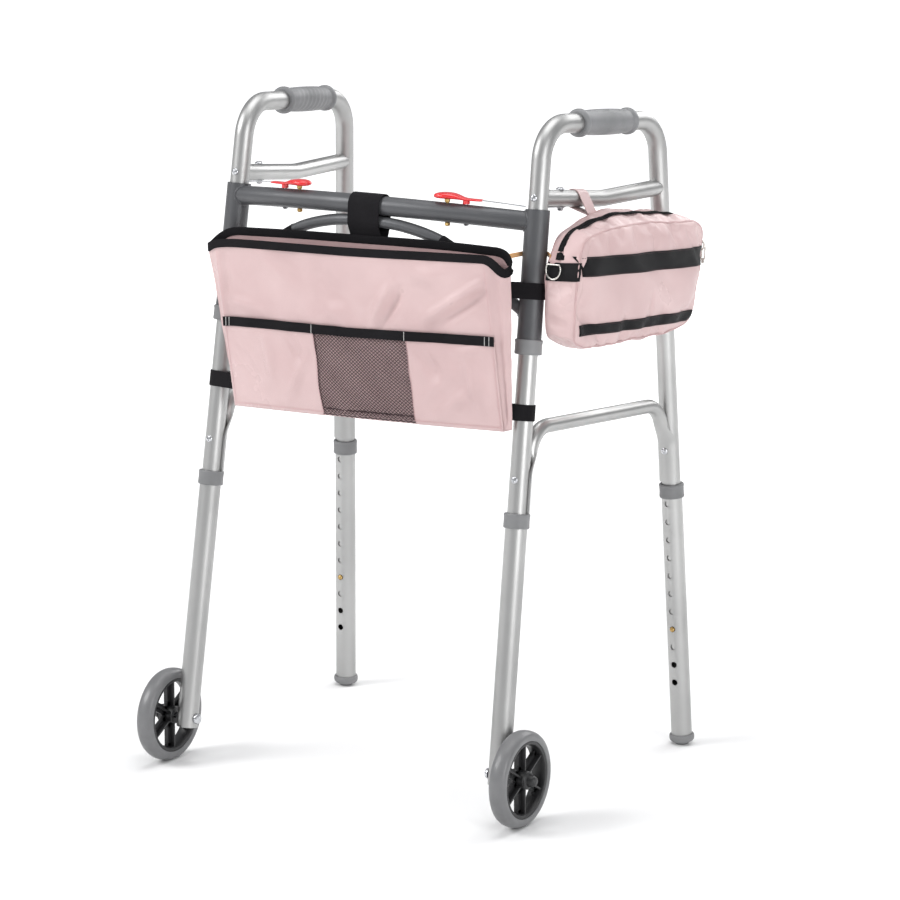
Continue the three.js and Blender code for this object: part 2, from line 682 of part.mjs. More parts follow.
function addPouch() {
  const shape = new THREE.Shape(POUCH_OUTLINE.map(([y, z]) => new THREE.Vector2(y, z)));
  const depth = POUCH.outer - POUCH.inner;
  const geometry = new THREE.ExtrudeGeometry(shape, { depth, bevelEnabled: false });
  const position = geometry.attributes.position;
  for (let i = 0; i < position.count; i += 1) {
    const [y, z, out] = [position.getX(i), position.getY(i), position.getZ(i)];
    const place = onSide(1, y, z, POUCH.inner + out);
    position.setXYZ(i, place.x, place.y, place.z);
  }
  add('side_pouch', solid(geometry), 'tote_fabric');

  // hanging loop over the upper brace
  const centre = onSide(1, POUCH.loopY, POUCH.loopZ);
  const along = onSide(1, POUCH.loopY + 10, POUCH.loopZ - 1).sub(centre).normalize();
  const from = centre.clone().addScaledVector(along, -POUCH.loopWidth / 2);
  const to = centre.clone().addScaledVector(along, POUCH.loopWidth / 2);
  const loop = tube(straight(from, to), UPPER_BRACE_R + 2.4, UPPER_BRACE_R + 1);
  const drop = onSide(1, POUCH.loopY, POUCH.loopZ - 10.5, UPPER_BRACE_R + 3.5);
  const tab = block(v3(POUCH.loopWidth, 6, 16), drop, v3(YAW, 1, 0));
  const hanger = loop.add(tab.subtract(rod(UPPER_BRACE_R + 1, from, to)));
  add('pouch_hanging_loop', hanger, 'tote_fabric');
}

addFrontAssembly();
for (const [side, name] of [[-1, 'left'], [1, 'right']]) {
  addSleeve(side, name);
  addRelease(side, name);
  addSideFrame(side, name);
  addWheel(side, name);
  addTip(side, name);
}
addTote();
addCentreStrap();
addPouch();

export default walker;
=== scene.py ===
import json
import math

import bmesh
import bpy
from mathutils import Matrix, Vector, noise
from mathutils.bvhtree import BVHTree


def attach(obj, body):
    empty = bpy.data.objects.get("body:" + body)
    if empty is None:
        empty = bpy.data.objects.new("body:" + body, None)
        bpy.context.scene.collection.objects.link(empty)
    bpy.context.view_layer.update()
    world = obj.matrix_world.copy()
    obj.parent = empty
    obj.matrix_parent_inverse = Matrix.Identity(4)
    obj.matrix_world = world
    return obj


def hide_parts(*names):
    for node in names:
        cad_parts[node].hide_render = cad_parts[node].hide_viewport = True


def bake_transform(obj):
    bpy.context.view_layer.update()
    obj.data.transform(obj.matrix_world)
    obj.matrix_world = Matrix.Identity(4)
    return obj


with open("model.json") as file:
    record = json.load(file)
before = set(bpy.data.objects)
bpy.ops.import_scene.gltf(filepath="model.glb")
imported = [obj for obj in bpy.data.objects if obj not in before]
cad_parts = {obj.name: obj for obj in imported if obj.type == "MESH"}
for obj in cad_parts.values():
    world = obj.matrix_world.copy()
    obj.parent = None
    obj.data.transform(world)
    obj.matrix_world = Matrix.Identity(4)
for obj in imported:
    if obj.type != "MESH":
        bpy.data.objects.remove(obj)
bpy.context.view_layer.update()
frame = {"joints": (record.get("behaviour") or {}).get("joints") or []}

# ---------- camera, light and floor ----------
# A long lens from the front and the right, a little above the bar, as a catalogue picture is taken.
# The floor and the background are one pale sheet, and the light comes from large soft panels.
MM = 0.001
ORIGIN = Vector((12.39, 76.4, 0)) * MM


def at(x, y, z):
    """A bench measurement in millimetres as a point of the row frame, in metres."""
    return Vector((x, y, z)) * MM - ORIGIN


def aim(thing, target):
    direction = target - thing.location
    thing.rotation_euler = direction.to_track_quat("-Z", "Y").to_euler()


def add_camera():
    data = bpy.data.cameras.new("camera")
    data.lens = 143.2
    data.sensor_width = 36
    camera = bpy.data.objects.new("camera", data)
    bpy.context.scene.collection.objects.link(camera)
    camera.location = at(2541.8, -3896.3, 1448.3)
    aim(camera, at(98.97, 0, 453.4))
    bpy.context.scene.camera = camera


def add_panel(name, location, target, size, power):
    data = bpy.data.lights.new(name, "AREA")
    data.shape = "RECTANGLE"
    data.size, data.size_y = size
    data.energy = power
    panel = bpy.data.objects.new(name, data)
    bpy.context.scene.collection.objects.link(panel)
    panel.location = location
    aim(panel, target)


def put(tree, kind, inputs=None, **settings):
    """A node with its settings; an input takes a value, or another node's output as a link."""
    node = tree.nodes.new(kind)
    for label, value in settings.items():
        setattr(node, label, value)
    for label, value in (inputs or {}).items():
        if isinstance(value, bpy.types.NodeSocket):
            tree.links.new(value, node.inputs[label])
        else:
            node.inputs[label].default_value = value
    return node


def add_stage():
    mesh = bpy.data.meshes.new("floor")
    half = 30
    corners = [(-half, -half, 0), (half, -half, 0), (half, half, 0), (-half, half, 0)]
    mesh.from_pydata(corners, [], [(0, 1, 2, 3)])
    floor = bpy.data.objects.new("floor", mesh)
    bpy.context.scene.collection.objects.link(floor)
    material = bpy.data.materials.new("floor_paper")
    material.use_nodes = True
    tree = material.node_tree
    shader = tree.nodes["Principled BSDF"]
    shader.inputs["Base Color"].default_value = (0.9, 0.9, 0.9, 1)
    shader.inputs["Roughness"].default_value = 0.9
    # the sheet is lit evenly to white once it is clear of the object's shadow
    place = put(tree, "ShaderNodeTexCoord")
    reach = put(tree, "ShaderNodeVectorMath", {0: place.outputs["Object"]}, operation="LENGTH")
    glow = put(tree, "ShaderNodeMapRange", {
        "From Min": 1.0, "From Max": 4.0, "To Max": 0.85, "Value": reach.outputs["Value"],
    })
    tree.links.new(glow.outputs["Result"], shader.inputs["Emission Strength"])
    shader.inputs["Emission Color"].default_value = (1, 1, 1, 1)
    mesh.materials.append(material)

    world = bpy.data.worlds.new("studio")
    bpy.context.scene.world = world
    world.use_nodes = True
    tree = world.node_tree
    path = put(tree, "ShaderNodeLightPath")
    mix = put(tree, "ShaderNodeMix", data_type="RGBA")
    mix.inputs["A"].default_value = (0.36, 0.365, 0.375, 1)
    mix.inputs["B"].default_value = (1, 1, 1, 1)
    tree.links.new(path.outputs["Is Camera Ray"], mix.inputs["Factor"])
    tree.links.new(mix.outputs["Result"], tree.nodes["Background"].inputs["Color"])
    tree.nodes["Background"].inputs["Strength"].default_value = 1.0


bpy.context.scene.view_settings.view_transform = "Standard"
add_camera()
add_stage()
CHEST = at(0, 100, 500)
add_panel("key_panel", Vector((-2.6, -2.6, 3.0)), CHEST, (1.9, 1.9), 112)
add_panel("fill_panel", Vector((3.6, -1.6, 1.6)), CHEST, (1.8, 2.4), 62)
add_panel("back_panel", Vector((0.6, 3.4, 2.4)), CHEST, (3.0, 1.6), 55)
add_panel("top_panel", Vector((0, 0.2, 3.6)), CHEST, (2.6, 2.6), 60)

# ---------- side tubes ----------
# Each side frame is one 25.4 mm aluminium tube, bent twice into the front upright, the handle and
# the rear upright. It is drawn, satin anodised and left bare; the ends are hidden in the legs.
TUBE_R = 12.7
TOP_Z = 800
HALF_WIDTH = 232.6
YAW = 0.0696
SPLAY = 0.032
FRONT_LEAN = 0.1602
REAR_LEAN = 0.0464
REAR_Y = 280.2
HANDLE_FRONT = (14.4, 890)
HANDLE_REAR = (277, 870)
HANDLE_BEND_R = 50
UP = Vector((0, 0, 1))
SIDES = ((-1, "left"), (1, "right"))


def on_side(side, y, z, out=0):
    """A point in the plane of a side frame, or `out` millimetres outside it."""
    return at(side * (HALF_WIDTH + YAW * y + SPLAY * (TOP_Z - z) + out), y, z)


def front_at(side, z):
    return on_side(side, -FRONT_LEAN * (TOP_Z - z), z)


def rear_at(side, z):
    return on_side(side, REAR_Y + REAR_LEAN * (TOP_Z - z), z)


def down_of(upright, side):
    return (upright(side, 0) - upright(side, TOP_Z)).normalized()


def square_to(axis, towards):
    """The direction square to an axis that is nearest to another direction."""
    return (towards - axis * axis.dot(towards)).normalized()


def bent(points, radius, steps=10):
    """Straight runs between points, with each inner corner rounded to a radius in millimetres."""
    path = [points[0]]
    for before, corner, after in zip(points, points[1:], points[2:]):
        arriving = (corner - before).normalized()
        leaving = (after - corner).normalized()
        turn = arriving.angle(leaving)
        start = corner - arriving * (radius * MM * math.tan(turn / 2))
        inward = square_to(arriving, leaving)
        for k in range(steps + 1):
            angle = turn * k / steps
            along = arriving * math.sin(angle) + inward * (1 - math.cos(angle))
            path.append(start + along * radius * MM)
    path.append(points[-1])
    return path


def stations(path, first_normal):
    """Each point of a path with its tangent and the two directions square to it."""
    found = []
    normal = first_normal
    for i, point in enumerate(path):
        tangent = (path[min(i + 1, len(path) - 1)] - path[max(i - 1, 0)]).normalized()
        normal = square_to(tangent, normal)
        found.append((point, tangent, normal, tangent.cross(normal)))
    return found


def circle(station, radius, count=40):
    point, _, across, over = station
    ring = []
    for k in range(count):
        angle = math.tau * k / count
        offset = across * math.cos(angle) + over * math.sin(angle)
        ring.append(point + offset * radius * MM)
    return ring


def loft(name, rings, material, round_section=True, looped=False, capped=True, crease=38):
    """A skin over rings of equal count, with a UV map in metres: across the ring, and along it."""
    count = len(rings[0])
    mesh = bpy.data.meshes.new(name)
    faces = []
    coords = []
    total_along = [0.0]
    for before, after in zip(rings, rings[1:] + rings[:1]):
        middle = sum(((b - a).length for a, b in zip(before, after)), 0.0) / count
        total_along.append(total_along[-1] + middle)
    across = []
    for ring in rings:
        lengths = [0.0]
        for a, b in zip(ring, ring[1:] + ring[:1]):
            lengths.append(lengths[-1] + (b - a).length)
        across.append(lengths)
    spans = len(rings) if looped else len(rings) - 1
    columns = count if round_section else count - 1
    for i in range(spans):
        j = (i + 1) % len(rings)
        for k in range(columns):
            m = (k + 1) % count
            faces.append((i * count + k, i * count + m, j * count + m, j * count + k))
            coords += [
                (across[i][k], total_along[i]), (across[i][k + 1], total_along[i]),
                (across[j][k + 1], total_along[i + 1]), (across[j][k], total_along[i + 1]),
            ]
    if capped and round_section and not looped:
        for start, flipped in ((0, True), ((len(rings) - 1) * count, False)):
            face = list(range(start, start + count))
            faces.append(tuple(reversed(face)) if flipped else tuple(face))
            coords += [(0.0, 0.0)] * count
    mesh.from_pydata([tuple(p) for ring in rings for p in ring], [], faces)
    layer = mesh.uv_layers.new(name="UVMap")
    layer.data.foreach_set("uv", [value for pair in coords for value in pair])
    return finished(name, mesh, material, crease)


def finished(name, mesh, material, crease=38):
    """A mesh as a linked object: doubles merged, faces out, smooth but for its real edges."""
    work = bmesh.new()
    work.from_mesh(mesh)
    bmesh.ops.remove_doubles(work, verts=work.verts, dist=1e-6)
    bmesh.ops.dissolve_degenerate(work, edges=work.edges, dist=1e-7)
    bmesh.ops.recalc_face_normals(work, faces=work.faces)
    work.to_mesh(mesh)
    work.free()
    mesh.shade_smooth()
    mesh.set_sharp_from_angle(angle=math.radians(crease))
    piece = bpy.data.objects.new(name, mesh)
    bpy.context.scene.collection.objects.link(piece)
    mesh.materials.append(material)
    return piece


def swept_tube(name, path, radius, material, first_normal=Vector((1, 0, 0)), wall=1.5):
    """A tube along a path, with real wall thickness at its open ends."""
    places = stations(path, first_normal)
    outside = [circle(place, radius) for place in places]
    inside = [circle(place, radius - wall) for place in reversed(places)]
    return loft(name, outside + inside, material, looped=True)


def settle(piece, body, slot, *nodes):
    """The piece rides on its body and stands for the plain nodes; slot is not used."""
    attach(piece, body)
    if nodes:
        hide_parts(*nodes)
    return piece


class Finish:
    """A material under construction: its nodes and links by short calls."""

    def __init__(self, name, colour, roughness, metallic=0.0, **settings):
        self.material = bpy.data.materials.new(name)
        self.material.use_nodes = True
        self.shader = self.material.node_tree.nodes["Principled BSDF"]
        self.shader.inputs["Base Color"].default_value = (*colour, 1)
        self.shader.inputs["Roughness"].default_value = roughness
        self.shader.inputs["Metallic"].default_value = metallic
        for label, value in settings.items():
            self.shader.inputs[label.replace("_", " ")].default_value = value

    def place(self, source, scale):
        """Object or UV coordinates, stretched by a scale along each axis."""
        tree = self.material.node_tree
        source_vector = put(tree, "ShaderNodeTexCoord").outputs[source]
        mapping = put(tree, "ShaderNodeMapping", {"Vector": source_vector, "Scale": scale})
        return mapping.outputs["Vector"]

    def effect(self, group, vector, **values):
        """A shared effect on these coordinates; a space in an input's name is written _."""
        values = {label.replace("_", " "): value for label, value in values.items()}
        return put(self.material.node_tree, "ShaderNodeGroup", {"Vector": vector, **values},
                   node_tree=group)

    def tone(self, light, dark, smooth, rough, clouds, wear, colour_input=None):
        """Two tones and two roughnesses in slow clouds; the colour is fed on if asked."""
        tone = self.effect(
            VARIATION, self.place("Object", (1, 1, 1)), Scale=clouds, Wear=wear,
            Colour_A=(*light, 1), Colour_B=(*dark, 1), Rough_A=smooth, Rough_B=rough,
        )
        if colour_input:
            self.feed(tone.outputs["Color"], colour_input)
        self.feed(tone.outputs["Roughness"], "Roughness")
        return tone

    def feed(self, output, label):
        self.material.node_tree.links.new(output, self.shader.inputs[label])

    def bump(self, height, distance):
        relief = put(self.material.node_tree, "ShaderNodeBump", {
            "Distance": distance, "Strength": 1.0, "Height": height,
        })
        self.feed(relief.outputs["Normal"], "Normal")


def new_group(name, inputs, outputs):
    """A shader node group with named sockets; returns its tree and both ends."""
    tree = bpy.data.node_groups.new(name, "ShaderNodeTree")
    for label, kind, value in inputs:
        socket = tree.interface.new_socket(label, in_out="INPUT", socket_type=kind)
        if value is not None:
            socket.default_value = value
    for label, kind in outputs:
        tree.interface.new_socket(label, in_out="OUTPUT", socket_type=kind)
    start = tree.nodes.new("NodeGroupInput")
    end = tree.nodes.new("NodeGroupOutput")
    return tree, start.outputs, end.inputs


FLOAT = "NodeSocketFloat"
COLOUR = "NodeSocketColor"
VECTOR = "NodeSocketVector"


def variation_group():
    """Slow cloudy change between two colours and two roughnesses, with fine specks of wear."""
    tree, given, result = new_group(
        "cloudy_variation",
        [("Vector", VECTOR, None), ("Scale", FLOAT, 5.0), ("Colour A", COLOUR, (1, 1, 1, 1)),
         ("Colour B", COLOUR, (0.5, 0.5, 0.5, 1)), ("Rough A", FLOAT, 0.3), ("Rough B", FLOAT, 0.5),
         ("Wear", FLOAT, 0.1)],
        [("Color", COLOUR), ("Roughness", FLOAT), ("Mask", FLOAT)],
    )
    clouds = put(tree, "ShaderNodeTexNoise", {
        "Vector": given["Vector"], "Scale": given["Scale"], "Detail": 5,
    })
    finer = put(tree, "ShaderNodeMath", {0: given["Scale"], 1: 9}, operation="MULTIPLY")
    specks = put(tree, "ShaderNodeTexNoise", {
        "Vector": given["Vector"], "Scale": finer.outputs[0], "Detail": 8, "Roughness": 0.75,
    })
    spread = put(tree, "ShaderNodeMapRange", {
        "Value": clouds.outputs["Fac"], "From Min": 0.35, "From Max": 0.65,
    })
    worn = put(tree, "ShaderNodeMapRange", {
        "Value": specks.outputs["Fac"], "From Min": 0.6, "From Max": 0.72,
    })
    scaled = put(
        tree, "ShaderNodeMath", {0: worn.outputs["Result"], 1: given["Wear"]}, operation="MULTIPLY"
    )
    mask = put(
        tree, "ShaderNodeMath", {0: spread.outputs["Result"], 1: scaled.outputs[0]},
        operation="ADD", use_clamp=True,
    )
    colour = put(tree, "ShaderNodeMix", data_type="RGBA")
    tree.links.new(given["Colour A"], colour.inputs["A"])
    tree.links.new(given["Colour B"], colour.inputs["B"])
    rough = put(tree, "ShaderNodeMix", {"A": given["Rough A"], "B": given["Rough B"]})
    for mix, label in ((colour, "Color"), (rough, "Roughness")):
        tree.links.new(mask.outputs[0], mix.inputs["Factor"])
        tree.links.new(mix.outputs["Result"], result[label])
    tree.links.new(mask.outputs[0], result["Mask"])
    return tree


def grain_group():
    """Even fine grain as a height: moulded plastic, powder coat, cast rubber."""
    tree, given, result = new_group(
        "fine_grain",
        [("Vector", VECTOR, None), ("Scale", FLOAT, 900.0), ("Detail", FLOAT, 3.0)],
        [("Height", FLOAT)],
    )
    inputs = {label: given[label] for label in ("Vector", "Scale", "Detail")}
    texture = put(tree, "ShaderNodeTexNoise", inputs)
    tree.links.new(texture.outputs["Fac"], result["Height"])
    return tree


VARIATION = variation_group()
GRAIN = grain_group()


def surface(name, light, dark, smooth, rough, clouds, wear, grain=None, depth=None, plain=None,
            metallic=0.0, source="Object", stretch=(1, 1, 1), detail=2.0, **settings):
    """A hard finish: two tones in slow clouds, specks of wear and, where it has a grain, relief.

    plain is the flat colour and roughness under the clouds, if they aren't the light ones.
    """
    colour, roughness = plain or (light, smooth)
    finish = Finish(name, colour, roughness, metallic, **settings)
    finish.tone(light, dark, smooth, rough, clouds, wear, "Base Color")
    if grain:
        lines = finish.effect(GRAIN, finish.place(source, stretch), Scale=grain, Detail=detail)
        finish.bump(lines.outputs["Height"], depth)
    return finish.material


# the drawing lines run along the tube
ALUMINIUM = surface(
    "satin_aluminium", light=(0.49, 0.49, 0.484), dark=(0.42, 0.42, 0.416), smooth=0.36,
    rough=0.46, clouds=7.0, wear=0.25, grain=2600.0, depth=0.00006,
    plain=((0.48, 0.48, 0.475), 0.38), metallic=1.0, source="UV", stretch=(1, 0.012, 1),
)
FRONT_TUBE_END_Z = 160
REAR_TUBE_END_Z = 130
for side, name in SIDES:
    tube_path = bent(
        [
            front_at(side, FRONT_TUBE_END_Z),
            on_side(side, *HANDLE_FRONT),
            on_side(side, *HANDLE_REAR),
            rear_at(side, REAR_TUBE_END_Z),
        ],
        HANDLE_BEND_R,
        steps=16,
    )
    side_tube = swept_tube(f"{name}_bent_tube", tube_path, TUBE_R, ALUMINIUM)
    settle(side_tube, f"{name}_side_frame", "aluminium_tube", f"{name}_side_tube")

# ---------- legs ----------
# Each leg is a 28.6 mm tube that slides over the side tube. Its adjusting holes are drilled through
# one face, an inch apart.
LEG_R = 14.3
LEG_BORE_R = 13.1
COLLAR_Z = {"front": 389, "rear": 362}
LEG_END_Z = {"front": 51, "rear": 6}
UPRIGHT = {"front": front_at, "rear": rear_at}
HOLE_FACING = {"front": 1, "rear": -1}
HOLE_PITCH = 25.4
HOLES = 11
BUTTON_INDEX = 7
FIRST_HOLE_DROP = 16.7
HOLE_R = 4.3


def geometry_tree(name, *extras):
    """A Geometry Nodes tree with named inputs: the host first and the material last."""
    tree = bpy.data.node_groups.new(name, "GeometryNodeTree")
    inputs = [("Geometry", "NodeSocketGeometry", None), *extras]
    for label, kind, value in inputs + [("Material", "NodeSocketMaterial", None)]:
        socket = tree.interface.new_socket(label, in_out="INPUT", socket_type=kind)
        if value is not None:
            socket.default_value = value
    tree.interface.new_socket("Geometry", in_out="OUTPUT", socket_type="NodeSocketGeometry")
    return tree, tree.nodes.new("NodeGroupInput").outputs


def close_tree(tree, given, geometry):
    """Ends a tree with Realize Instances and Set Material."""
    realize = put(tree, "GeometryNodeRealizeInstances", {"Geometry": geometry})
    paint = put(tree, "GeometryNodeSetMaterial", {
        "Geometry": realize.outputs["Geometry"], "Material": given["Material"],
    })
    put(tree, "NodeGroupOutput", {"Geometry": paint.outputs["Geometry"]})
    return tree


def stamped(tree, points, shape, turn):
    """The same shape at every point, turned as given."""
    return put(tree, "GeometryNodeInstanceOnPoints", {
        "Points": points, "Instance": shape, "Rotation": turn,
    }).outputs["Instances"]


def run_tree(tree, name, host, crease=38, **values):
    """Runs a tree over a host mesh with these inputs and keeps the result as a plain mesh."""
    carrier = bpy.data.objects.new(f"{name}_carrier", host)
    bpy.context.scene.collection.objects.link(carrier)
    modifier = carrier.modifiers.new("nodes", "NODES")
    modifier.node_group = tree
    sockets = {item.name: item.identifier for item in tree.interface.items_tree
               if item.in_out == "INPUT"}
    for label, value in values.items():
        modifier[sockets[label.replace("_", " ")]] = value
    bpy.context.view_layer.update()
    graph = bpy.context.evaluated_depsgraph_get()
    mesh = bpy.data.meshes.new_from_object(carrier.evaluated_get(graph))
    mesh.name = name
    bpy.data.objects.remove(carrier)
    mesh.shade_smooth()
    mesh.set_sharp_from_angle(angle=math.radians(crease))
    piece = bpy.data.objects.new(name, mesh)
    bpy.context.scene.collection.objects.link(piece)
    return piece


def drilled_tree():
    """A host tube with a row of round holes drilled into one face."""
    tree, given = geometry_tree(
        "drilled_row", ("Holes", "NodeSocketInt", 3), ("Radius", "NodeSocketFloat", 0.004),
        ("First", "NodeSocketVector", None), ("Step", "NodeSocketVector", None),
        ("Turn", "NodeSocketRotation", None),
    )
    row = put(tree, "GeometryNodeMeshLine", {
        "Count": given["Holes"], "Start Location": given["First"], "Offset": given["Step"],
    }, mode="OFFSET")
    drill = put(tree, "GeometryNodeMeshCylinder", {
        "Vertices": 28, "Depth": 0.014, "Radius": given["Radius"],
    })
    drills = stamped(tree, row.outputs["Mesh"], drill.outputs["Mesh"], given["Turn"])
    solid = put(tree, "GeometryNodeRealizeInstances", {"Geometry": drills})
    cut = put(tree, "GeometryNodeMeshBoolean", operation="DIFFERENCE", solver="EXACT")
    tree.links.new(given["Geometry"], cut.inputs["Mesh 1"])
    tree.links.new(solid.outputs["Geometry"], cut.inputs["Mesh 2"])
    return close_tree(tree, given, cut.outputs["Mesh"])


def button_place(side, end, index):
    """The middle of one leg hole on the tube's axis, with the way that it faces and the way down."""
    down = down_of(UPRIGHT[end], side)
    face = square_to(down, Vector((0, HOLE_FACING[end], 0)))
    first = UPRIGHT[end](side, COLLAR_Z[end] - FIRST_HOLE_DROP)
    return first + down * HOLE_PITCH * index * MM, face, down


DRILLED = drilled_tree()
for side, name in SIDES:
    for end, upright in UPRIGHT.items():
        top = upright(side, COLLAR_Z[end] + 7)
        foot = upright(side, LEG_END_Z[end])
        first_hole, face, down = button_place(side, end, 0)
        blank = swept_tube("leg_blank", [top, foot], LEG_R, ALUMINIUM, wall=LEG_R - LEG_BORE_R)
        leg = run_tree(
            DRILLED,
            f"{name}_{end}_drilled_leg",
            blank.data,
            Holes=HOLES,
            Radius=HOLE_R * MM,
            First=first_hole + face * LEG_R * MM,
            Step=down * HOLE_PITCH * MM,
            Turn=face.to_track_quat("Z", "Y").to_euler(),
            Material=ALUMINIUM,
        )
        bpy.data.objects.remove(blank)
        settle(leg, f"{name}_{end}_extension", "aluminium_tube", f"{name}_{end}_leg")

# ---------- leg collars and sleeve collars ----------
# Grey moulded rings, pushed over the top of each leg and over the lower end of each sleeve, so that
# the telescoping tubes don't rattle. Each has a rounded lip and a shallow waist.


def grey_plastic(name, light, dark, smooth, grain):
    return surface(
        name, light, dark, smooth, smooth + 0.14, clouds=22.0, wear=0.35, grain=grain,
        depth=0.00012, detail=4.0,
    )


def turned(name, profile, centre, axis, material, segments=48, looped=False, crease=38):
    """A shape turned about an axis: each profile point is a radius and a distance along it."""
    _, _, across, over = stations([centre, centre + axis], Vector((0.31, 0.89, 0.12)))[0]
    rings = []
    for radius, along in profile:
        place = (centre + axis * along * MM, axis, across, over)
        rings.append(circle(place, max(radius, 1e-6), segments))
    return loft(name, rings, material, looped=looped, crease=crease)


COLLAR_PLASTIC = grey_plastic(
    "collar_plastic", (0.215, 0.218, 0.222), (0.17, 0.172, 0.176), 0.42, 1300.0
)
LEG_COLLAR = [
    (14.4, -9.4), (15.9, -9.6), (16.7, -9.0), (17.1, -7.6), (16.9, -5.6), (16.7, 0), (16.9, 5.6),
    (17.2, 7.4), (16.9, 8.8), (16.2, 9.5), (13.5, 9.5), (13.0, 8.9), (12.9, 7.6), (14.3, 7.4),
]
SLEEVE_COLLAR = [
    (12.9, -9.6), (16.2, -9.8), (17.4, -9.2), (17.9, -7.8), (17.7, -5.0), (17.6, 4.6),
    (18.1, 6.6), (18.2, 8.6), (17.5, 9.6), (16.3, 9.7), (15.95, 8.0), (15.95, -0.6), (12.9, -0.9),
]
SLEEVE_TOP_Z = 782.8
SLEEVE_END_Z = 600
for side, name in SIDES:
    for end, upright in UPRIGHT.items():
        ring = turned(
            f"{name}_{end}_collar_ring", LEG_COLLAR, upright(side, COLLAR_Z[end]),
            -down_of(upright, side), COLLAR_PLASTIC, looped=True,
        )
        settle(ring, f"{name}_{end}_extension", "grey_plastic", f"{name}_{end}_collar")
    ring = turned(
        f"{name}_sleeve_ring", SLEEVE_COLLAR, front_at(side, SLEEVE_END_Z + 9.6),
        -down_of(front_at, side), COLLAR_PLASTIC, looped=True,
    )
    settle(ring, "front_frame", "grey_plastic", f"{name}_sleeve_collar")

# ---------- handle grips ----------
# Soft grey vinyl, moulded in one piece and pushed onto the handle. It swells in the palm, has a
# flange at each end, and slanting finger ribs on the side that faces the user.
GRIP_MIDDLE_Y = {"left": 166, "right": 150}
GRIP_HALF = 61
GRIP_PALM_R = 17.2
GRIP_NECK_R = 15.3
FLANGE_R = {-1: 18.6, 1: 17.9}


def grip_radius(along):
    """The grip's plain radius at a distance from its middle."""
    end = 1 if along > 0 else -1
    depth = GRIP_HALF - abs(along)
    if depth < 6.5:
        round_over = math.sqrt(max(0.0, 1 - ((depth - 3.4) / 3.6) ** 2)) if depth < 3.4 else 1
        return GRIP_NECK_R - 1.2 + (FLANGE_R[end] - GRIP_NECK_R + 1.2) * round_over
    if depth < 10:
        fall = (depth - 6.5) / 3.5
        smooth = fall * fall * (3 - 2 * fall)
        return FLANGE_R[end] + (GRIP_NECK_R - FLANGE_R[end]) * smooth
    palm = 1 - ((GRIP_HALF - depth) / (GRIP_HALF - 10)) ** 2
    return GRIP_NECK_R + (GRIP_PALM_R - GRIP_NECK_R) * palm ** 0.7


def finger_rib(along, angle, inner_angle):
    """Slanting ridges on the inner side: their height in millimetres."""
    turn = (angle - inner_angle + math.pi) % math.tau - math.pi
    reach = max(0.0, math.cos(turn * 0.95)) ** 1.5 if abs(turn) < 1.6 else 0.0
    fade = max(0.0, 1 - (abs(along) / 44) ** 6)
    wave = math.cos(math.tau * (along / 10.5 + turn * 0.55))
    return 0.75 * reach * fade * (0.5 + 0.5 * wave) ** 1.6


def grip_piece(side, name, material):
    handle_start = on_side(side, *HANDLE_FRONT)
    handle_end = on_side(side, *HANDLE_REAR)
    share = (GRIP_MIDDLE_Y[name] - HANDLE_FRONT[0]) / (HANDLE_REAR[0] - HANDLE_FRONT[0])
    middle = handle_start.lerp(handle_end, share)
    axis = (handle_end - handle_start).normalized()
    inward = square_to(axis, Vector((-side, 0, 0)))
    over = axis.cross(inward)
    count = 72
    rings = []
    steps = [-GRIP_HALF + 0.0, -60.6, -60.0, -59.0, -57.8, -56.5, -55.4, -54.4, -53.4, -52.4]
    steps += [-51 + 1.5 * k for k in range(69)]
    steps += [52.4, 53.4, 54.4, 55.4, 56.5, 57.8, 59.0, 60.0, 60.6, GRIP_HALF]
    for along in steps:
        ring = []
        for k in range(count):
            angle = math.tau * k / count
            radius = grip_radius(along) + finger_rib(along, angle, 0.0)
            spoke = inward * math.cos(angle) + over * math.sin(angle)
            ring.append(middle + axis * along * MM + spoke * radius * MM)
        rings.append(ring)
    place_of = [(middle + axis * s * MM, axis, inward, over) for s in (GRIP_HALF, -GRIP_HALF)]
    rings += [circle(place, TUBE_R + 0.15, count) for place in place_of]
    return loft(f"{name}_vinyl_grip", rings, material, looped=True, crease=60)


GRIP_VINYL = grey_plastic(
    "grip_vinyl", (0.205, 0.208, 0.214), (0.165, 0.168, 0.173), 0.42, 2100.0
)
for side, name in SIDES:
    settle(grip_piece(side, name, GRIP_VINYL), f"{name}_side_frame", "grip_vinyl", f"{name}_grip")

# ---------- upper braces ----------
# A 22 mm aluminium tube with a slow bend, mouthed at both ends to fit round the uprights, with a
# bolt through it near the front that holds the latch plate on its underside.
UPPER_BRACE = ((0, 797), (141, 780.5), (281, 779.5))
UPPER_BRACE_R = 11
UPPER_BRACE_BEND_R = 160


def meet(ring, direction, post, post_axis, radius):
    """Slides each point of a ring along a direction until it touches a round post."""
    heading = direction - post_axis * direction.dot(post_axis)
    moved = []
    for point in ring:
        offset = point - post
        offset = offset - post_axis * offset.dot(post_axis)
        a = heading.dot(heading)
        b = heading.dot(offset)
        c = offset.dot(offset) - (radius * MM) ** 2
        root = math.sqrt(max(0.0, b * b - a * c))
        moved.append(point + direction * ((-b - root) / a))
    return moved


def mouthed_tube(name, path, radius, material, posts, count=40):
    """A tube along a path whose two ends are shaped to the round posts that they stand against."""
    places = stations(path, UP)
    rings = [circle(place, radius, count) for place in places[1:-1]]
    (first_post, first_axis, first_r), (last_post, last_axis, last_r) = posts
    start = meet(rings[0], -places[1][1], first_post, first_axis, first_r)
    finish = meet(rings[-1], places[-2][1], last_post, last_axis, last_r)
    return loft(name, [start] + rings + [finish], material, capped=False)


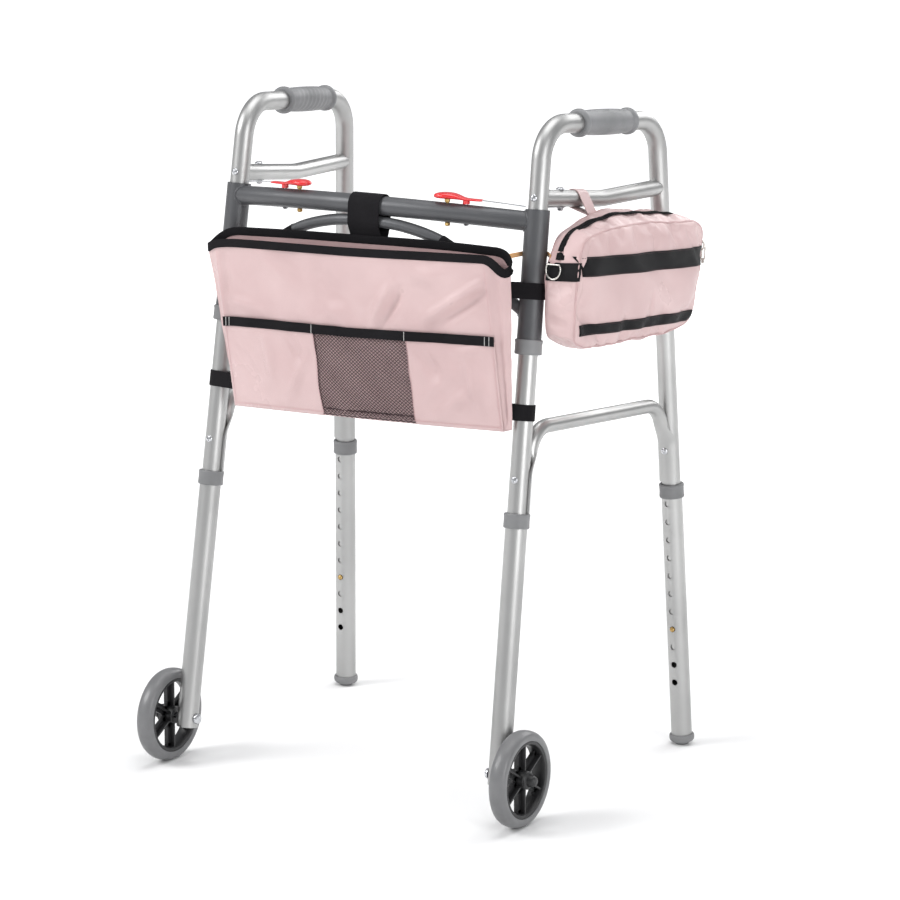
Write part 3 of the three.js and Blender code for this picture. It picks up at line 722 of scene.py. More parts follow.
for side, name in SIDES:
    corners = [on_side(side, y, z) for y, z in UPPER_BRACE]
    bend = bent(corners, UPPER_BRACE_BEND_R, steps=14)
    run_in = (bend[1] - bend[0]).normalized()
    run_out = (bend[-1] - bend[-2]).normalized()
    path = [bend[0], bend[0] + run_in * 0.02] + bend[1:-1] + [bend[-1] - run_out * 0.02, bend[-1]]
    brace = mouthed_tube(
        f"{name}_handle_brace", path, UPPER_BRACE_R, ALUMINIUM,
        ((front_at(side, 797), down_of(front_at, side), TUBE_R - 0.3),
         (rear_at(side, 780), down_of(rear_at, side), TUBE_R - 0.3)),
    )
    settle(brace, f"{name}_side_frame", "aluminium_tube", f"{name}_upper_brace")

# ---------- lower braces ----------
# A 19 mm aluminium tube, bent down along both uprights. Its ends are pressed into thin half shells
# that hug the uprights, and a screw goes through each.
LOWER_BRACE_R = 9.5
LOWER_BEND_R = 37
SADDLE_R = TUBE_R + 3.4
SADDLE_BORE_R = TUBE_R + 0.35
SADDLE_END_Z = {"front": 402, "rear": 377}
SADDLE_FULL_Z = {"front": 447, "rear": 428}
SADDLE_START_Z = {"front": 476, "rear": 462}
LOWER_TOP_Z = {"front": 506, "rear": 487}
HUG = math.radians(84)


def smooth_step(value):
    value = min(1.0, max(0.0, value))
    return value * value * (3 - 2 * value)


def lower_brace_path(side):
    out = (SADDLE_BORE_R + LOWER_BRACE_R) * MM
    corners = []
    for end, facing in (("front", 1), ("rear", -1)):
        upright = UPRIGHT[end]
        face = square_to(down_of(upright, side), Vector((0, facing, 0)))
        foot = upright(side, SADDLE_END_Z[end]) + face * out
        knee = upright(side, LOWER_TOP_Z[end]) + face * out
        corners += [foot, knee] if end == "front" else [knee, foot]
    path = bent(corners, LOWER_BEND_R, steps=18)
    # the straight stretches down the uprights get stations of their own
    down_front = [path[0].lerp(path[1], k / 16) for k in range(16)]
    down_rear = [path[-2].lerp(path[-1], k / 16) for k in range(1, 17)]
    return down_front + path[1:-1] + down_rear


def lower_brace_ring(side, place, half=18):
    """The tube's section: round on the run, a thin crescent round the upright at the ends."""
    point, tangent, inward, over = place
    height = (point + ORIGIN).z / MM
    end = "front" if (point + ORIGIN).y / MM < 130 else "rear"
    upright = UPRIGHT[end]
    pressed = smooth_step(
        (SADDLE_START_Z[end] - height) / (SADDLE_START_Z[end] - SADDLE_FULL_Z[end])
    )
    axis_point = upright(side, height)
    ring = []
    for k in range(2 * half):
        outer = k < half
        share = k / (half - 1) if outer else (k - half) / (half - 1)
        sweep = (share * 2 - 1) if outer else (1 - share * 2)
        angle = sweep * math.pi / 2
        if outer:
            spoke = inward * math.cos(angle) + over * math.sin(angle)
        else:
            spoke = -inward * math.cos(angle) + over * math.sin(angle)
        round_point = point + spoke * LOWER_BRACE_R * MM
        hug = sweep * HUG
        reach = SADDLE_R if outer else SADDLE_BORE_R
        arc = inward * math.cos(hug) + over * math.sin(hug)
        ring.append(round_point.lerp(axis_point + arc * reach * MM, pressed))
    return ring


for side, name in SIDES:
    path = lower_brace_path(side)
    facing_in = square_to(down_of(front_at, side), Vector((0, 1, 0)))
    rings = [lower_brace_ring(side, place) for place in stations(path, facing_in)]
    brace = loft(f"{name}_leg_brace", rings, ALUMINIUM, crease=50)
    settle(brace, f"{name}_side_frame", "aluminium_tube", f"{name}_lower_brace")

# ---------- screws and brace bolts ----------
# Zinc-plated pan-head screws with a cross recess hold both braces to the uprights; a bolt with a
# hexagon nut goes down through each upper brace.


def screw_tree():
    """A domed head with a cross recess, placed and turned by named inputs."""
    tree, given = geometry_tree(
        "cross_head_screw", ("Radius", "NodeSocketFloat", 0.005),
        ("Place", "NodeSocketVector", None), ("Turn", "NodeSocketRotation", None),
    )
    dome = put(tree, "GeometryNodeMeshUVSphere", {
        "Segments": 36, "Rings": 18, "Radius": given["Radius"],
    })
    flat = put(tree, "GeometryNodeTransform", {
        "Geometry": dome.outputs["Mesh"], "Scale": (1, 1, 0.52),
    })
    slots = put(tree, "GeometryNodeJoinGeometry")
    for size in ((0.0062, 0.0012, 0.0026), (0.0012, 0.0062, 0.0026)):
        slot = put(tree, "GeometryNodeMeshCube", {"Size": size})
        tree.links.new(slot.outputs["Mesh"], slots.inputs["Geometry"])
    raised = put(tree, "GeometryNodeTransform", {
        "Geometry": slots.outputs["Geometry"], "Translation": (0, 0, 0.0026),
    })
    cut = put(tree, "GeometryNodeMeshBoolean", operation="DIFFERENCE", solver="EXACT")
    cut.inputs["Self Intersection"].default_value = True
    tree.links.new(flat.outputs["Geometry"], cut.inputs["Mesh 1"])
    tree.links.new(raised.outputs["Geometry"], cut.inputs["Mesh 2"])
    point = put(tree, "GeometryNodePoints", {"Position": given["Place"]})
    heads = stamped(tree, point.outputs["Points"], cut.outputs["Mesh"], given["Turn"])
    return close_tree(tree, given, heads)


ZINC = surface(
    "zinc_plate", light=(0.66, 0.67, 0.69), dark=(0.5, 0.51, 0.53), smooth=0.2, rough=0.36,
    clouds=160.0, wear=0.3, plain=((0.62, 0.63, 0.65), 0.24), metallic=1.0,
)
SCREW = screw_tree()
SCREW_HEAD_R = 4.8
UPPER_SCREW_Z = 797
LOWER_SCREW_Z = {"front": 441, "rear": 420}
BRACE_BOLT = (48, 791.4)
BOLT_PROFILE = [
    (0, -16.4), (2.3, -16.2), (2.5, -15.4), (2.4, -12.6), (4.6, -12.4), (4.8, -12.0), (4.6, -11.5),
    (2, -11.3), (2, 11.3), (5.6, 11.6), (5.8, 12.2), (5.2, 13.2), (3.4, 14.3), (0, 14.8),
]
NUT_PROFILE = [(2.4, -15.6), (3.9, -15.6), (4.3, -15.1), (4.3, -12.9), (3.9, -12.5), (2.4, -12.5)]


def nothing():
    return bpy.data.meshes.new("nothing")


for side, name in SIDES:
    front_down = down_of(front_at, side)
    rear_down = down_of(rear_at, side)
    forward = Vector((0, -1, 0))
    screws = (
        ("upper_screw", front_at(side, UPPER_SCREW_Z), square_to(front_down, forward), TUBE_R),
        ("lower_front_screw", front_at(side, LOWER_SCREW_Z["front"]),
         square_to(front_down, forward), TUBE_R),
        ("lower_rear_screw", rear_at(side, LOWER_SCREW_Z["rear"]),
         square_to(rear_down, forward), SADDLE_R),
    )
    for label, axis_point, outward, seat_r in screws:
        head = run_tree(
            SCREW, f"{name}_{label}_head", nothing(),
            Radius=SCREW_HEAD_R * MM,
            Place=axis_point + outward * (seat_r - 0.1) * MM,
            Turn=outward.to_track_quat("Z", "Y").to_euler(),
            Material=ZINC,
        )
        settle(head, f"{name}_side_frame", "zinc_steel", f"{name}_{label}")
    bolt = turned(f"{name}_brace_screw", BOLT_PROFILE, on_side(side, *BRACE_BOLT), UP, ZINC)
    settle(bolt, f"{name}_side_frame", "zinc_steel", f"{name}_brace_bolt")
    nut = turned(
        f"{name}_brace_nut", NUT_PROFILE, on_side(side, *BRACE_BOLT), UP, ZINC, 6, True, 20
    )
    settle(nut, f"{name}_side_frame", "zinc_steel")

# ---------- front wheels ----------
# 127 mm wheels: a solid grey polyurethane tyre moulded round a black nylon hub with six ribbed
# spokes, on a plated axle bolt through the leg, with a black cap nut on the outside.
WHEEL_OFFSET = 31
SPOKES = 6
TYRE_PROFILE = [
    (51.2, -11.2), (55.5, -11.9), (58.6, -11.4), (61.0, -9.6), (62.6, -6.6), (63.35, -3.2),
    (63.5, 0), (63.35, 3.2), (62.6, 6.6), (61.0, 9.6), (58.6, 11.4), (55.5, 11.9), (51.2, 11.2),
    (50.6, 9.5), (50.6, -9.5),
]
RIM_PROFILE = [
    (50.9, -10.2), (50.9, 10.2), (48.8, 10.8), (46.6, 10.2), (45.4, 8.0), (44.6, 2.4), (44.6, -2.4),
    (45.4, -8.0), (46.6, -10.2), (48.8, -10.8),
]
BOSS_PROFILE = [
    (4.5, -11.6), (11.2, -11.6), (12, -10.8), (12.8, 0), (12, 10.8), (11.2, 11.6), (4.5, 11.6),
]
CAP_PROFILE = [
    (4.2, 12.0), (11.6, 12.0), (11.9, 12.6), (11.2, 13.4), (8.6, 14.6), (8.1, 16.2), (7.7, 19.6),
    (6.2, 22.6), (4.6, 24.3), (0.01, 24.9), (0.01, 24.2), (4.2, 24.1),
]
AXLE_PROFILE = [
    (0, -19.4), (4.6, -19.2), (6.6, -18.2), (7.2, -16.4), (7.2, -14.6), (4, -14.5), (4, 53.6),
    (3.2, 54.8), (0, 55),
]


def spoke_tree():
    """Ribbed spokes round the X axis between a boss and a rim, joined to the host mesh."""
    tree, given = geometry_tree(
        "ribbed_spokes", ("Spokes", "NodeSocketInt", 6), ("Place", "NodeSocketVector", None)
    )
    bars = put(tree, "GeometryNodeJoinGeometry")
    # the size of each block of a spoke and the distance of its middle from the axle
    blocks = (
        ((0.0165, 0.0024, 0.0350), 0.0290), ((0.0034, 0.0125, 0.0350), 0.0290),
        ((0.0034, 0.0190, 0.0060), 0.0435), ((0.0034, 0.0150, 0.0060), 0.0145),
    )
    for size, middle in blocks:
        rib = put(tree, "GeometryNodeMeshCube", {"Size": size})
        moved = put(tree, "GeometryNodeTransform", {
            "Geometry": rib.outputs["Mesh"], "Translation": (0, 0, middle),
        })
        tree.links.new(moved.outputs["Geometry"], bars.inputs["Geometry"])
    points = put(tree, "GeometryNodeMeshLine", {
        "Offset": (0, 0, 0), "Count": given["Spokes"], "Start Location": given["Place"],
    })
    index = put(tree, "GeometryNodeInputIndex").outputs["Index"]
    part = put(tree, "ShaderNodeMath", {0: index, 1: given["Spokes"]}, operation="DIVIDE")
    angle = put(tree, "ShaderNodeMath", {0: part.outputs[0], 1: math.tau}, operation="MULTIPLY")
    turn = put(tree, "ShaderNodeCombineXYZ", {"X": angle.outputs[0]})
    spokes = stamped(
        tree, points.outputs["Mesh"], bars.outputs["Geometry"], turn.outputs["Vector"]
    )
    whole = put(tree, "GeometryNodeJoinGeometry")
    tree.links.new(spokes, whole.inputs["Geometry"])
    tree.links.new(given["Geometry"], whole.inputs["Geometry"])
    return close_tree(tree, given, whole.outputs["Geometry"])


def merged_mesh(pieces):
    """Several finished pieces as one mesh; the pieces themselves are removed."""
    work = bmesh.new()
    for piece in pieces:
        work.from_mesh(piece.data)
    mesh = bpy.data.meshes.new("merged")
    work.to_mesh(mesh)
    work.free()
    for piece in pieces:
        bpy.data.objects.remove(piece)
    return mesh


TYRE = surface(
    "grey_polyurethane", light=(0.185, 0.186, 0.19), dark=(0.15, 0.151, 0.155), smooth=0.32,
    rough=0.5, clouds=30.0, wear=0.4, grain=700.0, depth=0.00008,
    plain=((0.19, 0.19, 0.194), 0.36), detail=3.0, Coat_Weight=0.15,
)
HUB = grey_plastic("black_nylon", (0.013, 0.013, 0.014), (0.02, 0.02, 0.021), 0.33, 900.0)
SPOKED = spoke_tree()
for side, name in SIDES:
    roll = next(joint for joint in frame["joints"] if joint["name"] == f"{name}_wheel_roll")
    centre = Vector(roll["pos_m"])
    outward = Vector((side, 0, 0))
    tyre = turned(f"{name}_solid_tyre", TYRE_PROFILE, centre, outward, TYRE, 96, True, 50)
    settle(tyre, f"{name}_wheel", "tyre_rubber", f"{name}_tyre")
    rim = turned("rim", RIM_PROFILE, centre, outward, HUB, 72, True)
    boss = turned("boss", BOSS_PROFILE, centre, outward, HUB, 48, True)
    hub = run_tree(
        SPOKED, f"{name}_spoked_hub", merged_mesh([rim, boss]), Spokes=SPOKES, Place=centre,
        Material=HUB,
    )
    settle(hub, f"{name}_wheel", "hub_plastic", f"{name}_hub")
    leg_middle = centre - outward * WHEEL_OFFSET * MM
    axle = turned(f"{name}_axle_bolt", AXLE_PROFILE, leg_middle, outward, ZINC, 36)
    settle(axle, f"{name}_front_extension", "zinc_steel", f"{name}_axle")
    cap = turned(f"{name}_cap_nut", CAP_PROFILE, centre, outward, HUB, 36, True)
    settle(cap, f"{name}_front_extension", "hub_plastic", f"{name}_axle_nut")

# ---------- rear tips ----------
# Grey rubber ferrules, pushed over the rear legs: a rounded lip that tapers to a small flat foot.
TIP_PROFILE = [
    (0, 0.0), (8.6, 0.0), (9.3, 0.5), (9.6, 1.6), (11.6, 2.8), (14.6, 4.4), (16.6, 6.4),
    (17.3, 8.6), (17.4, 11.4), (17.0, 13.4), (16.0, 14.6), (14.9, 14.9), (14.5, 14.2), (14.5, 5.6),
    (0, 5.6),
]
TIP_RUBBER = grey_plastic(
    "tip_rubber", (0.235, 0.236, 0.24), (0.19, 0.191, 0.195), 0.6, 800.0
)
for side, name in SIDES:
    foot = rear_at(side, 0)
    up = -down_of(rear_at, side)
    tip = turned(f"{name}_ferrule", TIP_PROFILE, foot, up, TIP_RUBBER)
    for vertex in tip.data.vertices:
        vertex.co.z = max(vertex.co.z, 0.0)
    settle(tip, f"{name}_rear_extension", "tip_rubber", f"{name}_rear_tip")

# ---------- cross bar, arch and hinge sleeves ----------
# The front assembly is welded from steel tube and powder coated charcoal: a bar bowed to the
# front, a thinner arch under it, and two sleeves in which the side frames turn.
BAR_R = 12.7
BAR_BOW = 35
BAR_END_Y = -5.4
BAR_Z = 766.9
BAR_RISE = 9
ARCH_R = 7.5
ARCH_POINTS = ((222, 655), (205, 669), (150, 712), (110, 737.5), (55, 752.5))
ARCH_TOP_Z = 755.8
ARCH_HALF_SPAN = 226
ARCH_BOW = 40
SLEEVE_R = 15.9


def bar_at(x):
    bow = 1 - (x / HALF_WIDTH) ** 2
    return at(x, BAR_END_Y - BAR_BOW * bow, BAR_Z + BAR_RISE * bow)


def arch_at(x, z):
    bow = 1 - (x / ARCH_HALF_SPAN) ** 2
    return at(x, -FRONT_LEAN * (TOP_Z - z) - ARCH_BOW * bow, z)


def smooth_path(points, count):
    """An even path of `count` points through a few given ones."""
    spline = []
    last = len(points) - 1
    for i in range(last):
        p0 = points[max(i - 1, 0)]
        p1, p2 = points[i], points[i + 1]
        p3 = points[min(i + 2, last)]
        for k in range(12):
            t = k / 12
            spline.append(0.5 * (
                2 * p1 + (p2 - p0) * t + (2 * p0 - 5 * p1 + 4 * p2 - p3) * t * t
                + (3 * p1 - p0 - 3 * p2 + p3) * t ** 3
            ))
    spline.append(points[last])
    lengths = [0.0]
    for a, b in zip(spline, spline[1:]):
        lengths.append(lengths[-1] + (b - a).length)
    even = []
    j = 0
    for k in range(count):
        target = lengths[-1] * k / (count - 1)
        while j < len(lengths) - 2 and lengths[j + 1] < target:
            j += 1
        span = lengths[j + 1] - lengths[j]
        even.append(spline[j].lerp(spline[j + 1], (target - lengths[j]) / span))
    return even


def weld_bead(name, ring, centre, radius, material):
    """A rippled fillet along the line where a tube meets a post."""
    count = len(ring)
    rings = []
    for k, point in enumerate(ring):
        tangent = (ring[(k + 1) % count] - ring[k - 1]).normalized()
        outward = square_to(tangent, point - centre)
        side_way = tangent.cross(outward)
        ripple = radius * (1 + 0.16 * math.sin(k * 2.4))
        section = []
        for j in range(10):
            angle = math.tau * j / 10
            offset = outward * math.cos(angle) + side_way * math.sin(angle)
            section.append(point + offset * ripple * MM)
        rings.append(section)
    return loft(name, rings, material, looped=True, crease=80)


CHARCOAL = surface(
    "charcoal_powder_coat", light=(0.092, 0.094, 0.1), dark=(0.072, 0.074, 0.079), smooth=0.34,
    rough=0.46, clouds=14.0, wear=0.3, grain=1100.0, depth=0.00018,
    plain=((0.09, 0.092, 0.098), 0.38), metallic=0.25,
)
bar_path = [bar_at(-HALF_WIDTH + 2 * HALF_WIDTH * k / 40) for k in range(41)]
bar_posts = [(front_at(side, BAR_Z), down_of(front_at, side), SLEEVE_R - 0.6) for side, _ in SIDES]
bar_path = [bar_path[0]] + bar_path[2:-2] + [bar_path[-1]]
bar = mouthed_tube("front_cross_bar", bar_path, BAR_R, CHARCOAL, bar_posts, 48)
settle(bar, "front_frame", "painted_steel", "cross_bar")

arch_points = [arch_at(-x, z) if x else None for x, z in ARCH_POINTS]
arch_points += [arch_at(0, ARCH_TOP_Z)]
arch_points += [arch_at(x, z) for x, z in reversed(ARCH_POINTS)]
arch_path = smooth_path(arch_points, 70)
arch_posts = [(front_at(side, 655), down_of(front_at, side), SLEEVE_R - 0.5) for side, _ in SIDES]
arch = mouthed_tube("front_arch", arch_path, ARCH_R, CHARCOAL, arch_posts, 28)
settle(arch, "front_frame", "painted_steel", "arch_brace")

for side, name in SIDES:
    sleeve = swept_tube(
        f"{name}_hinge_sleeve",
        [front_at(side, SLEEVE_TOP_Z), front_at(side, SLEEVE_TOP_Z - 1.2),
         front_at(side, SLEEVE_END_Z + 10)],
        SLEEVE_R, CHARCOAL, wall=2.7,
    )
    settle(sleeve, "front_frame", "painted_steel", f"{name}_sleeve")
    for label, tube, radius in (("bar", bar, BAR_R), ("arch", arch, ARCH_R)):
        count = 48 if label == "bar" else 28
        vertices = tube.data.vertices
        first = 0 if side < 0 else len(vertices) - count
        ring = [vertices[first + k].co.copy() for k in range(count)]
        middle = sum(ring, Vector()) / count
        bead = weld_bead(f"{name}_{label}_weld", ring, middle, 1.9, CHARCOAL)
        settle(bead, "front_frame", "painted_steel")

# ---------- release paddles and latch strips ----------
# Glossy red levers rock on a rivet through the bar. Pressing the oval end lifts the spring-steel
# strip on the other end, which locks the side frame; a brass bolt limits the stroke.
PADDLE_PIVOT_X = 141
PADDLE_BOLT_X = 115
STRIP_END_Z = 784.6
TONGUE_OUT = 23
# along the lever from its pivot: half width, half thickness and height of its middle
PADDLE_SECTIONS = (
    (-23.0, 4.6, 1.1, 6.4), (-22.2, 5.6, 1.4, 6.4), (-16, 6.0, 1.5, 6.5), (-4, 6.3, 1.6, 6.6),
    (3, 6.8, 1.9, 7.2), (8, 8.2, 2.6, 8.4), (13, 9.9, 3.4, 9.6), (20, 11.2, 4.1, 10.3),
    (28, 11.6, 4.3, 10.5), (35, 11.0, 4.1, 10.4), (40, 9.0, 3.5, 10.1), (43, 6.2, 2.5, 9.9),
    (44.4, 3.0, 1.2, 9.8), (44.7, 0.6, 0.3, 9.8),
)
BRASS_BOLT = [
    (0, -17.8), (1.9, -17.6), (2.3, -16.9), (2.3, 13.5), (3.0, 13.6), (3.6, 14.2), (3.7, 17.4),
    (3.2, 18.0), (0, 18.1),
]
BRASS_NUT = [(2.2, -17.0), (3.5, -17.0), (3.8, -16.6), (3.8, -13.6), (3.4, -13.1), (2.2, -13.1)]
RIVET = [
    (0, -15.4), (1.8, -15.2), (3.3, -14.2), (3.8, -12.9), (1.9, -12.6), (1.9, 16.8), (0, 17.0),
]


def plated(name, bright, dull, smooth, rough, stretch=(1, 1, 1)):
    return surface(
        name, bright, dull, smooth, rough, clouds=120.0, wear=0.35, grain=1500.0,
        depth=0.00005, metallic=1.0, stretch=stretch,
    )


def strip_path_piece(name, start, end, width, thickness, material):
    """A flat strip with broken edges between two points."""
    places = stations([start.lerp(end, k / 8) for k in range(9)], UP)
    half_t, half_w = thickness * MM / 2, width * MM / 2
    outline = ((-1, -0.82), (-0.6, -1), (0.6, -1), (1, -0.82), (1, 0.82), (0.6, 1), (-0.6, 1),
               (-1, 0.82))
    rings = []
    for point, _, up, across in places:
        rings.append([point + up * half_t * a + across * half_w * b for a, b in outline])
    return loft(name, rings, material, crease=25)


RED = surface(
    "glossy_red", light=(0.76, 0.02, 0.024), dark=(0.62, 0.012, 0.016), smooth=0.13, rough=0.3,
    clouds=90.0, wear=0.5, grain=260.0, depth=0.0001, plain=((0.72, 0.018, 0.022), 0.16),
    detail=1.0, Coat_Weight=0.4,
)
BRASS = plated("yellow_brass", (0.62, 0.43, 0.17), (0.42, 0.27, 0.1), 0.24, 0.42)
SPRING_STEEL = plated(
    "spring_steel", (0.66, 0.67, 0.69), (0.5, 0.51, 0.53), 0.26, 0.4, (0.05, 1, 1)
)
for side, name in SIDES:
    pivot = bar_at(side * PADDLE_PIVOT_X)
    bolt_place = bar_at(side * PADDLE_BOLT_X)
    inwards = bolt_place - pivot
    inwards.z = 0
    inwards.normalize()
    crosswise = UP.cross(inwards)
    bar_top = pivot + UP * BAR_R * MM
    rings = []
    for along, half_w, half_t, height in PADDLE_SECTIONS:
        ring = []
        for k in range(28):
            angle = math.tau * k / 28
            c, s = math.cos(angle), math.sin(angle)
            w = half_w * math.copysign(abs(c) ** 0.7, c)
            t = half_t * math.copysign(abs(s) ** 0.85, s)
            ring.append(
                bar_top + inwards * along * MM + crosswise * w * MM + UP * (height + t) * MM
            )
        rings.append(ring)
    paddle = loft(f"{name}_red_paddle", rings, RED, crease=70)
    subdivision = paddle.modifiers.new("rounding", "SUBSURF")
    subdivision.levels = 1
    subdivision.render_levels = 1
    settle(paddle, f"{name}_release", "red_plastic", f"{name}_release_paddle")
    foot = turned(
        f"{name}_paddle_foot", [(2.9, 0.8), (4.6, 0.8), (4.8, 1.3), (4.6, 5.6), (2.9, 5.6)],
        bar_top, UP, RED, 32, True,
    )
    settle(foot, f"{name}_release", "red_plastic")

    tongue_end = bar_top - inwards * TONGUE_OUT * MM + UP * 6.4 * MM
    upright_face = front_at(side, STRIP_END_Z)
    reach = (upright_face - tongue_end).normalized()
    strip_end = upright_face - reach * (TUBE_R + 3.4) * MM
    strip = strip_path_piece(
        f"{name}_steel_strip", tongue_end - reach * 0.004, strip_end, 5.5, 1.0, SPRING_STEEL
    )
    settle(strip, f"{name}_release", "spring_steel", f"{name}_latch_strip")

    bolt = turned(f"{name}_stop_bolt", BRASS_BOLT, bolt_place, UP, BRASS, 24)
    settle(bolt, "front_frame", "brass", f"{name}_paddle_bolt")
    nut = turned(f"{name}_stop_nut", BRASS_NUT, bolt_place, UP, BRASS, 6, True, 20)
    settle(nut, "front_frame", "brass")
    rivet = turned(f"{name}_pivot_rivet", RIVET, pivot, UP, ZINC, 24)
    settle(rivet, "front_frame", "spring_steel", f"{name}_paddle_rivet")

# ---------- snap buttons ----------
# Small domed brass studs on a spring clip in the tube, standing out through the eighth leg hole.
BUTTON_PROFILE = [(0, 7), (3.5, 7), (3.6, 14.6), (3.3, 15.7), (2.4, 16.5), (1.2, 16.9), (0, 17)]
for side, name in SIDES:
    for end in UPRIGHT:
        middle, face, _ = button_place(side, end, BUTTON_INDEX)
        button = turned(f"{name}_{end}_snap_stud", BUTTON_PROFILE, middle, face, BRASS, 24)
        settle(button, f"{name}_{end}_snap", "brass", f"{name}_{end}_button")

# ---------- tote ----------
# A flat document bag of pink satin nylon, bound in black round its open rim, with folded gussets
# at the ends and three outside pockets, the middle one of net. It hangs from the bar and is tied
# to both front uprights.
FRONT_STEPS = 150
GUSSET_STEPS = 18
BACK_STEPS = 80
TOTE_ROWS = 84
POCKET_TOP = 0.52
NET_LEFT = 0.345
NET_RIGHT = 0.686
TOTE_WIDTH = 424
TOTE_HEIGHT = 222


def weave_group():
    """Crossing threads as a height and a mask for painted shade, from UV coordinates in metres."""
    tree, given, result = new_group(
        "plain_weave",
        [("Vector", VECTOR, None), ("Scale", FLOAT, 900.0)],
        [("Height", FLOAT), ("Mask", FLOAT)],
    )
    warp, weft = (
        put(tree, "ShaderNodeTexWave", {
            "Vector": given["Vector"], "Scale": given["Scale"], "Distortion": 0.4, "Detail": 1,
        }, bands_direction=direction).outputs["Fac"]
        for direction in ("X", "Y")
    )
    for operation, label in (("MAXIMUM", "Height"), ("MULTIPLY", "Mask")):
        both = put(tree, "ShaderNodeMath", {0: warp, 1: weft}, operation=operation)
        tree.links.new(both.outputs[0], result[label])
    return tree


WEAVE = weave_group()


def cloth_finish(name, light, dark, rough, thread, sheen, relief, **settings):
    """A woven finish: two tones in slow clouds, painted shade between the threads, threads in relief.
    """
    finish = Finish(name, light, rough, Sheen_Weight=sheen, Sheen_Roughness=0.35, **settings)
    tone = finish.tone(light, dark, rough, rough + 0.1, 9.0, 0.15)
    threads = finish.effect(WEAVE, finish.place("UV", (1, 1, 1)), Scale=thread)
    tree = finish.material.node_tree
    # painted shade: the weave mask darkens the colour towards a deeper tone, standing in for shade
    # between the threads
    part = put(tree, "ShaderNodeMath", {0: threads.outputs["Mask"], 1: 0.35}, operation="MULTIPLY")
    shade = put(tree, "ShaderNodeMix", {"Factor": part.outputs[0]}, data_type="RGBA")
    tree.links.new(tone.outputs["Color"], shade.inputs["A"])
    shade.inputs["B"].default_value = (*(0.8 * channel for channel in dark), 1)
    finish.feed(shade.outputs["Result"], "Base Color")
    finish.bump(threads.outputs["Height"], relief)
    return finish.material


PINK_NYLON = cloth_finish(
    "pink_satin_nylon", (0.66, 0.485, 0.48), (0.58, 0.41, 0.408), 0.27, 1500.0, 0.06, 0.00005,
)
LINING = cloth_finish(
    "pink_lining", (0.62, 0.43, 0.43), (0.54, 0.36, 0.36), 0.55, 1100.0, 0.06, 0.0001,
)
BLACK_WEB = cloth_finish(
    "black_webbing", (0.010, 0.009, 0.011), (0.006, 0.0055, 0.007), 0.75, 420.0, 0.0, 0.0003,
    Specular_IOR_Level=0.18,
)
PINK_THREAD = cloth_finish(
    "pink_thread", (0.62, 0.4, 0.41), (0.55, 0.34, 0.35), 0.6, 3000.0, 0.2, 0.0001,
)
WHITE_THREAD = cloth_finish(
    "white_thread", (0.75, 0.74, 0.73), (0.62, 0.61, 0.6), 0.6, 3000.0, 0.2, 0.0001,
)
NET_CORD = cloth_finish(
    "net_cord", (0.06, 0.028, 0.032), (0.04, 0.018, 0.021), 0.6, 2500.0, 0.1, 0.0001,
)


def placed(*points):
    return [at(*point) for point in points]


# the rim, point by point: along the front, round the right gusset, along the back, round the left
RIM = (
    (FRONT_STEPS, placed((-226, -72, 712), (-190, -73, 716), (-90, -73.5, 718), (6, -74, 720),
                         (110, -73.5, 724), (198, -71.5, 727))),
    (GUSSET_STEPS, placed((198, -71.5, 727), (209, -70, 720), (220, -67, 709), (228, -63, 711),
                          (226, -59, 724), (212, -54, 735))),
    (BACK_STEPS, placed((212, -54, 735), (120, -52.5, 736), (-5, -53, 734), (-110, -53, 732),
                        (-206, -54, 729))),
    (GUSSET_STEPS, placed((-206, -54, 729), (-222, -57, 722), (-236, -61, 709), (-241, -65, 703),
                          (-236, -70, 707), (-226, -72, 712))),
)
BASE = (
    (FRONT_STEPS, placed((-198, -67, 493), (10, -68, 497), (223, -67, 504))),
    (GUSSET_STEPS, placed((223, -67, 504), (230, -64.5, 506), (232, -62.5, 507), (226, -60, 508))),
    (BACK_STEPS, placed((226, -60, 508), (0, -60, 500), (-195, -60, 494))),
    (GUSSET_STEPS, placed((-195, -60, 494), (-199, -62, 493), (-200, -64, 493), (-198, -67, 493))),
)
rim_loop, base_loop = [], []
for loop, parts in ((rim_loop, RIM), (base_loop, BASE)):
    for steps, points in parts:
        loop += smooth_path(points, steps + 1)[:-1]


def fold(u, v, start, end, width, height):
    """A soft ridge between two points of the panel: its height in millimetres."""
    px, pz = u * TOTE_WIDTH, v * TOTE_HEIGHT
    ax, az = start[0] * TOTE_WIDTH, start[1] * TOTE_HEIGHT
    bx, bz = end[0] * TOTE_WIDTH, end[1] * TOTE_HEIGHT
    dx, dz = bx - ax, bz - az
    share = ((px - ax) * dx + (pz - az) * dz) / (dx * dx + dz * dz)
    near = min(1.0, max(0.0, share))
    off = math.hypot(px - ax - near * dx, pz - az - near * dz)
    return 2.5 * height * math.exp(-(off / width) ** 2) * (0.35 + 0.65 * math.sin(math.pi * near))


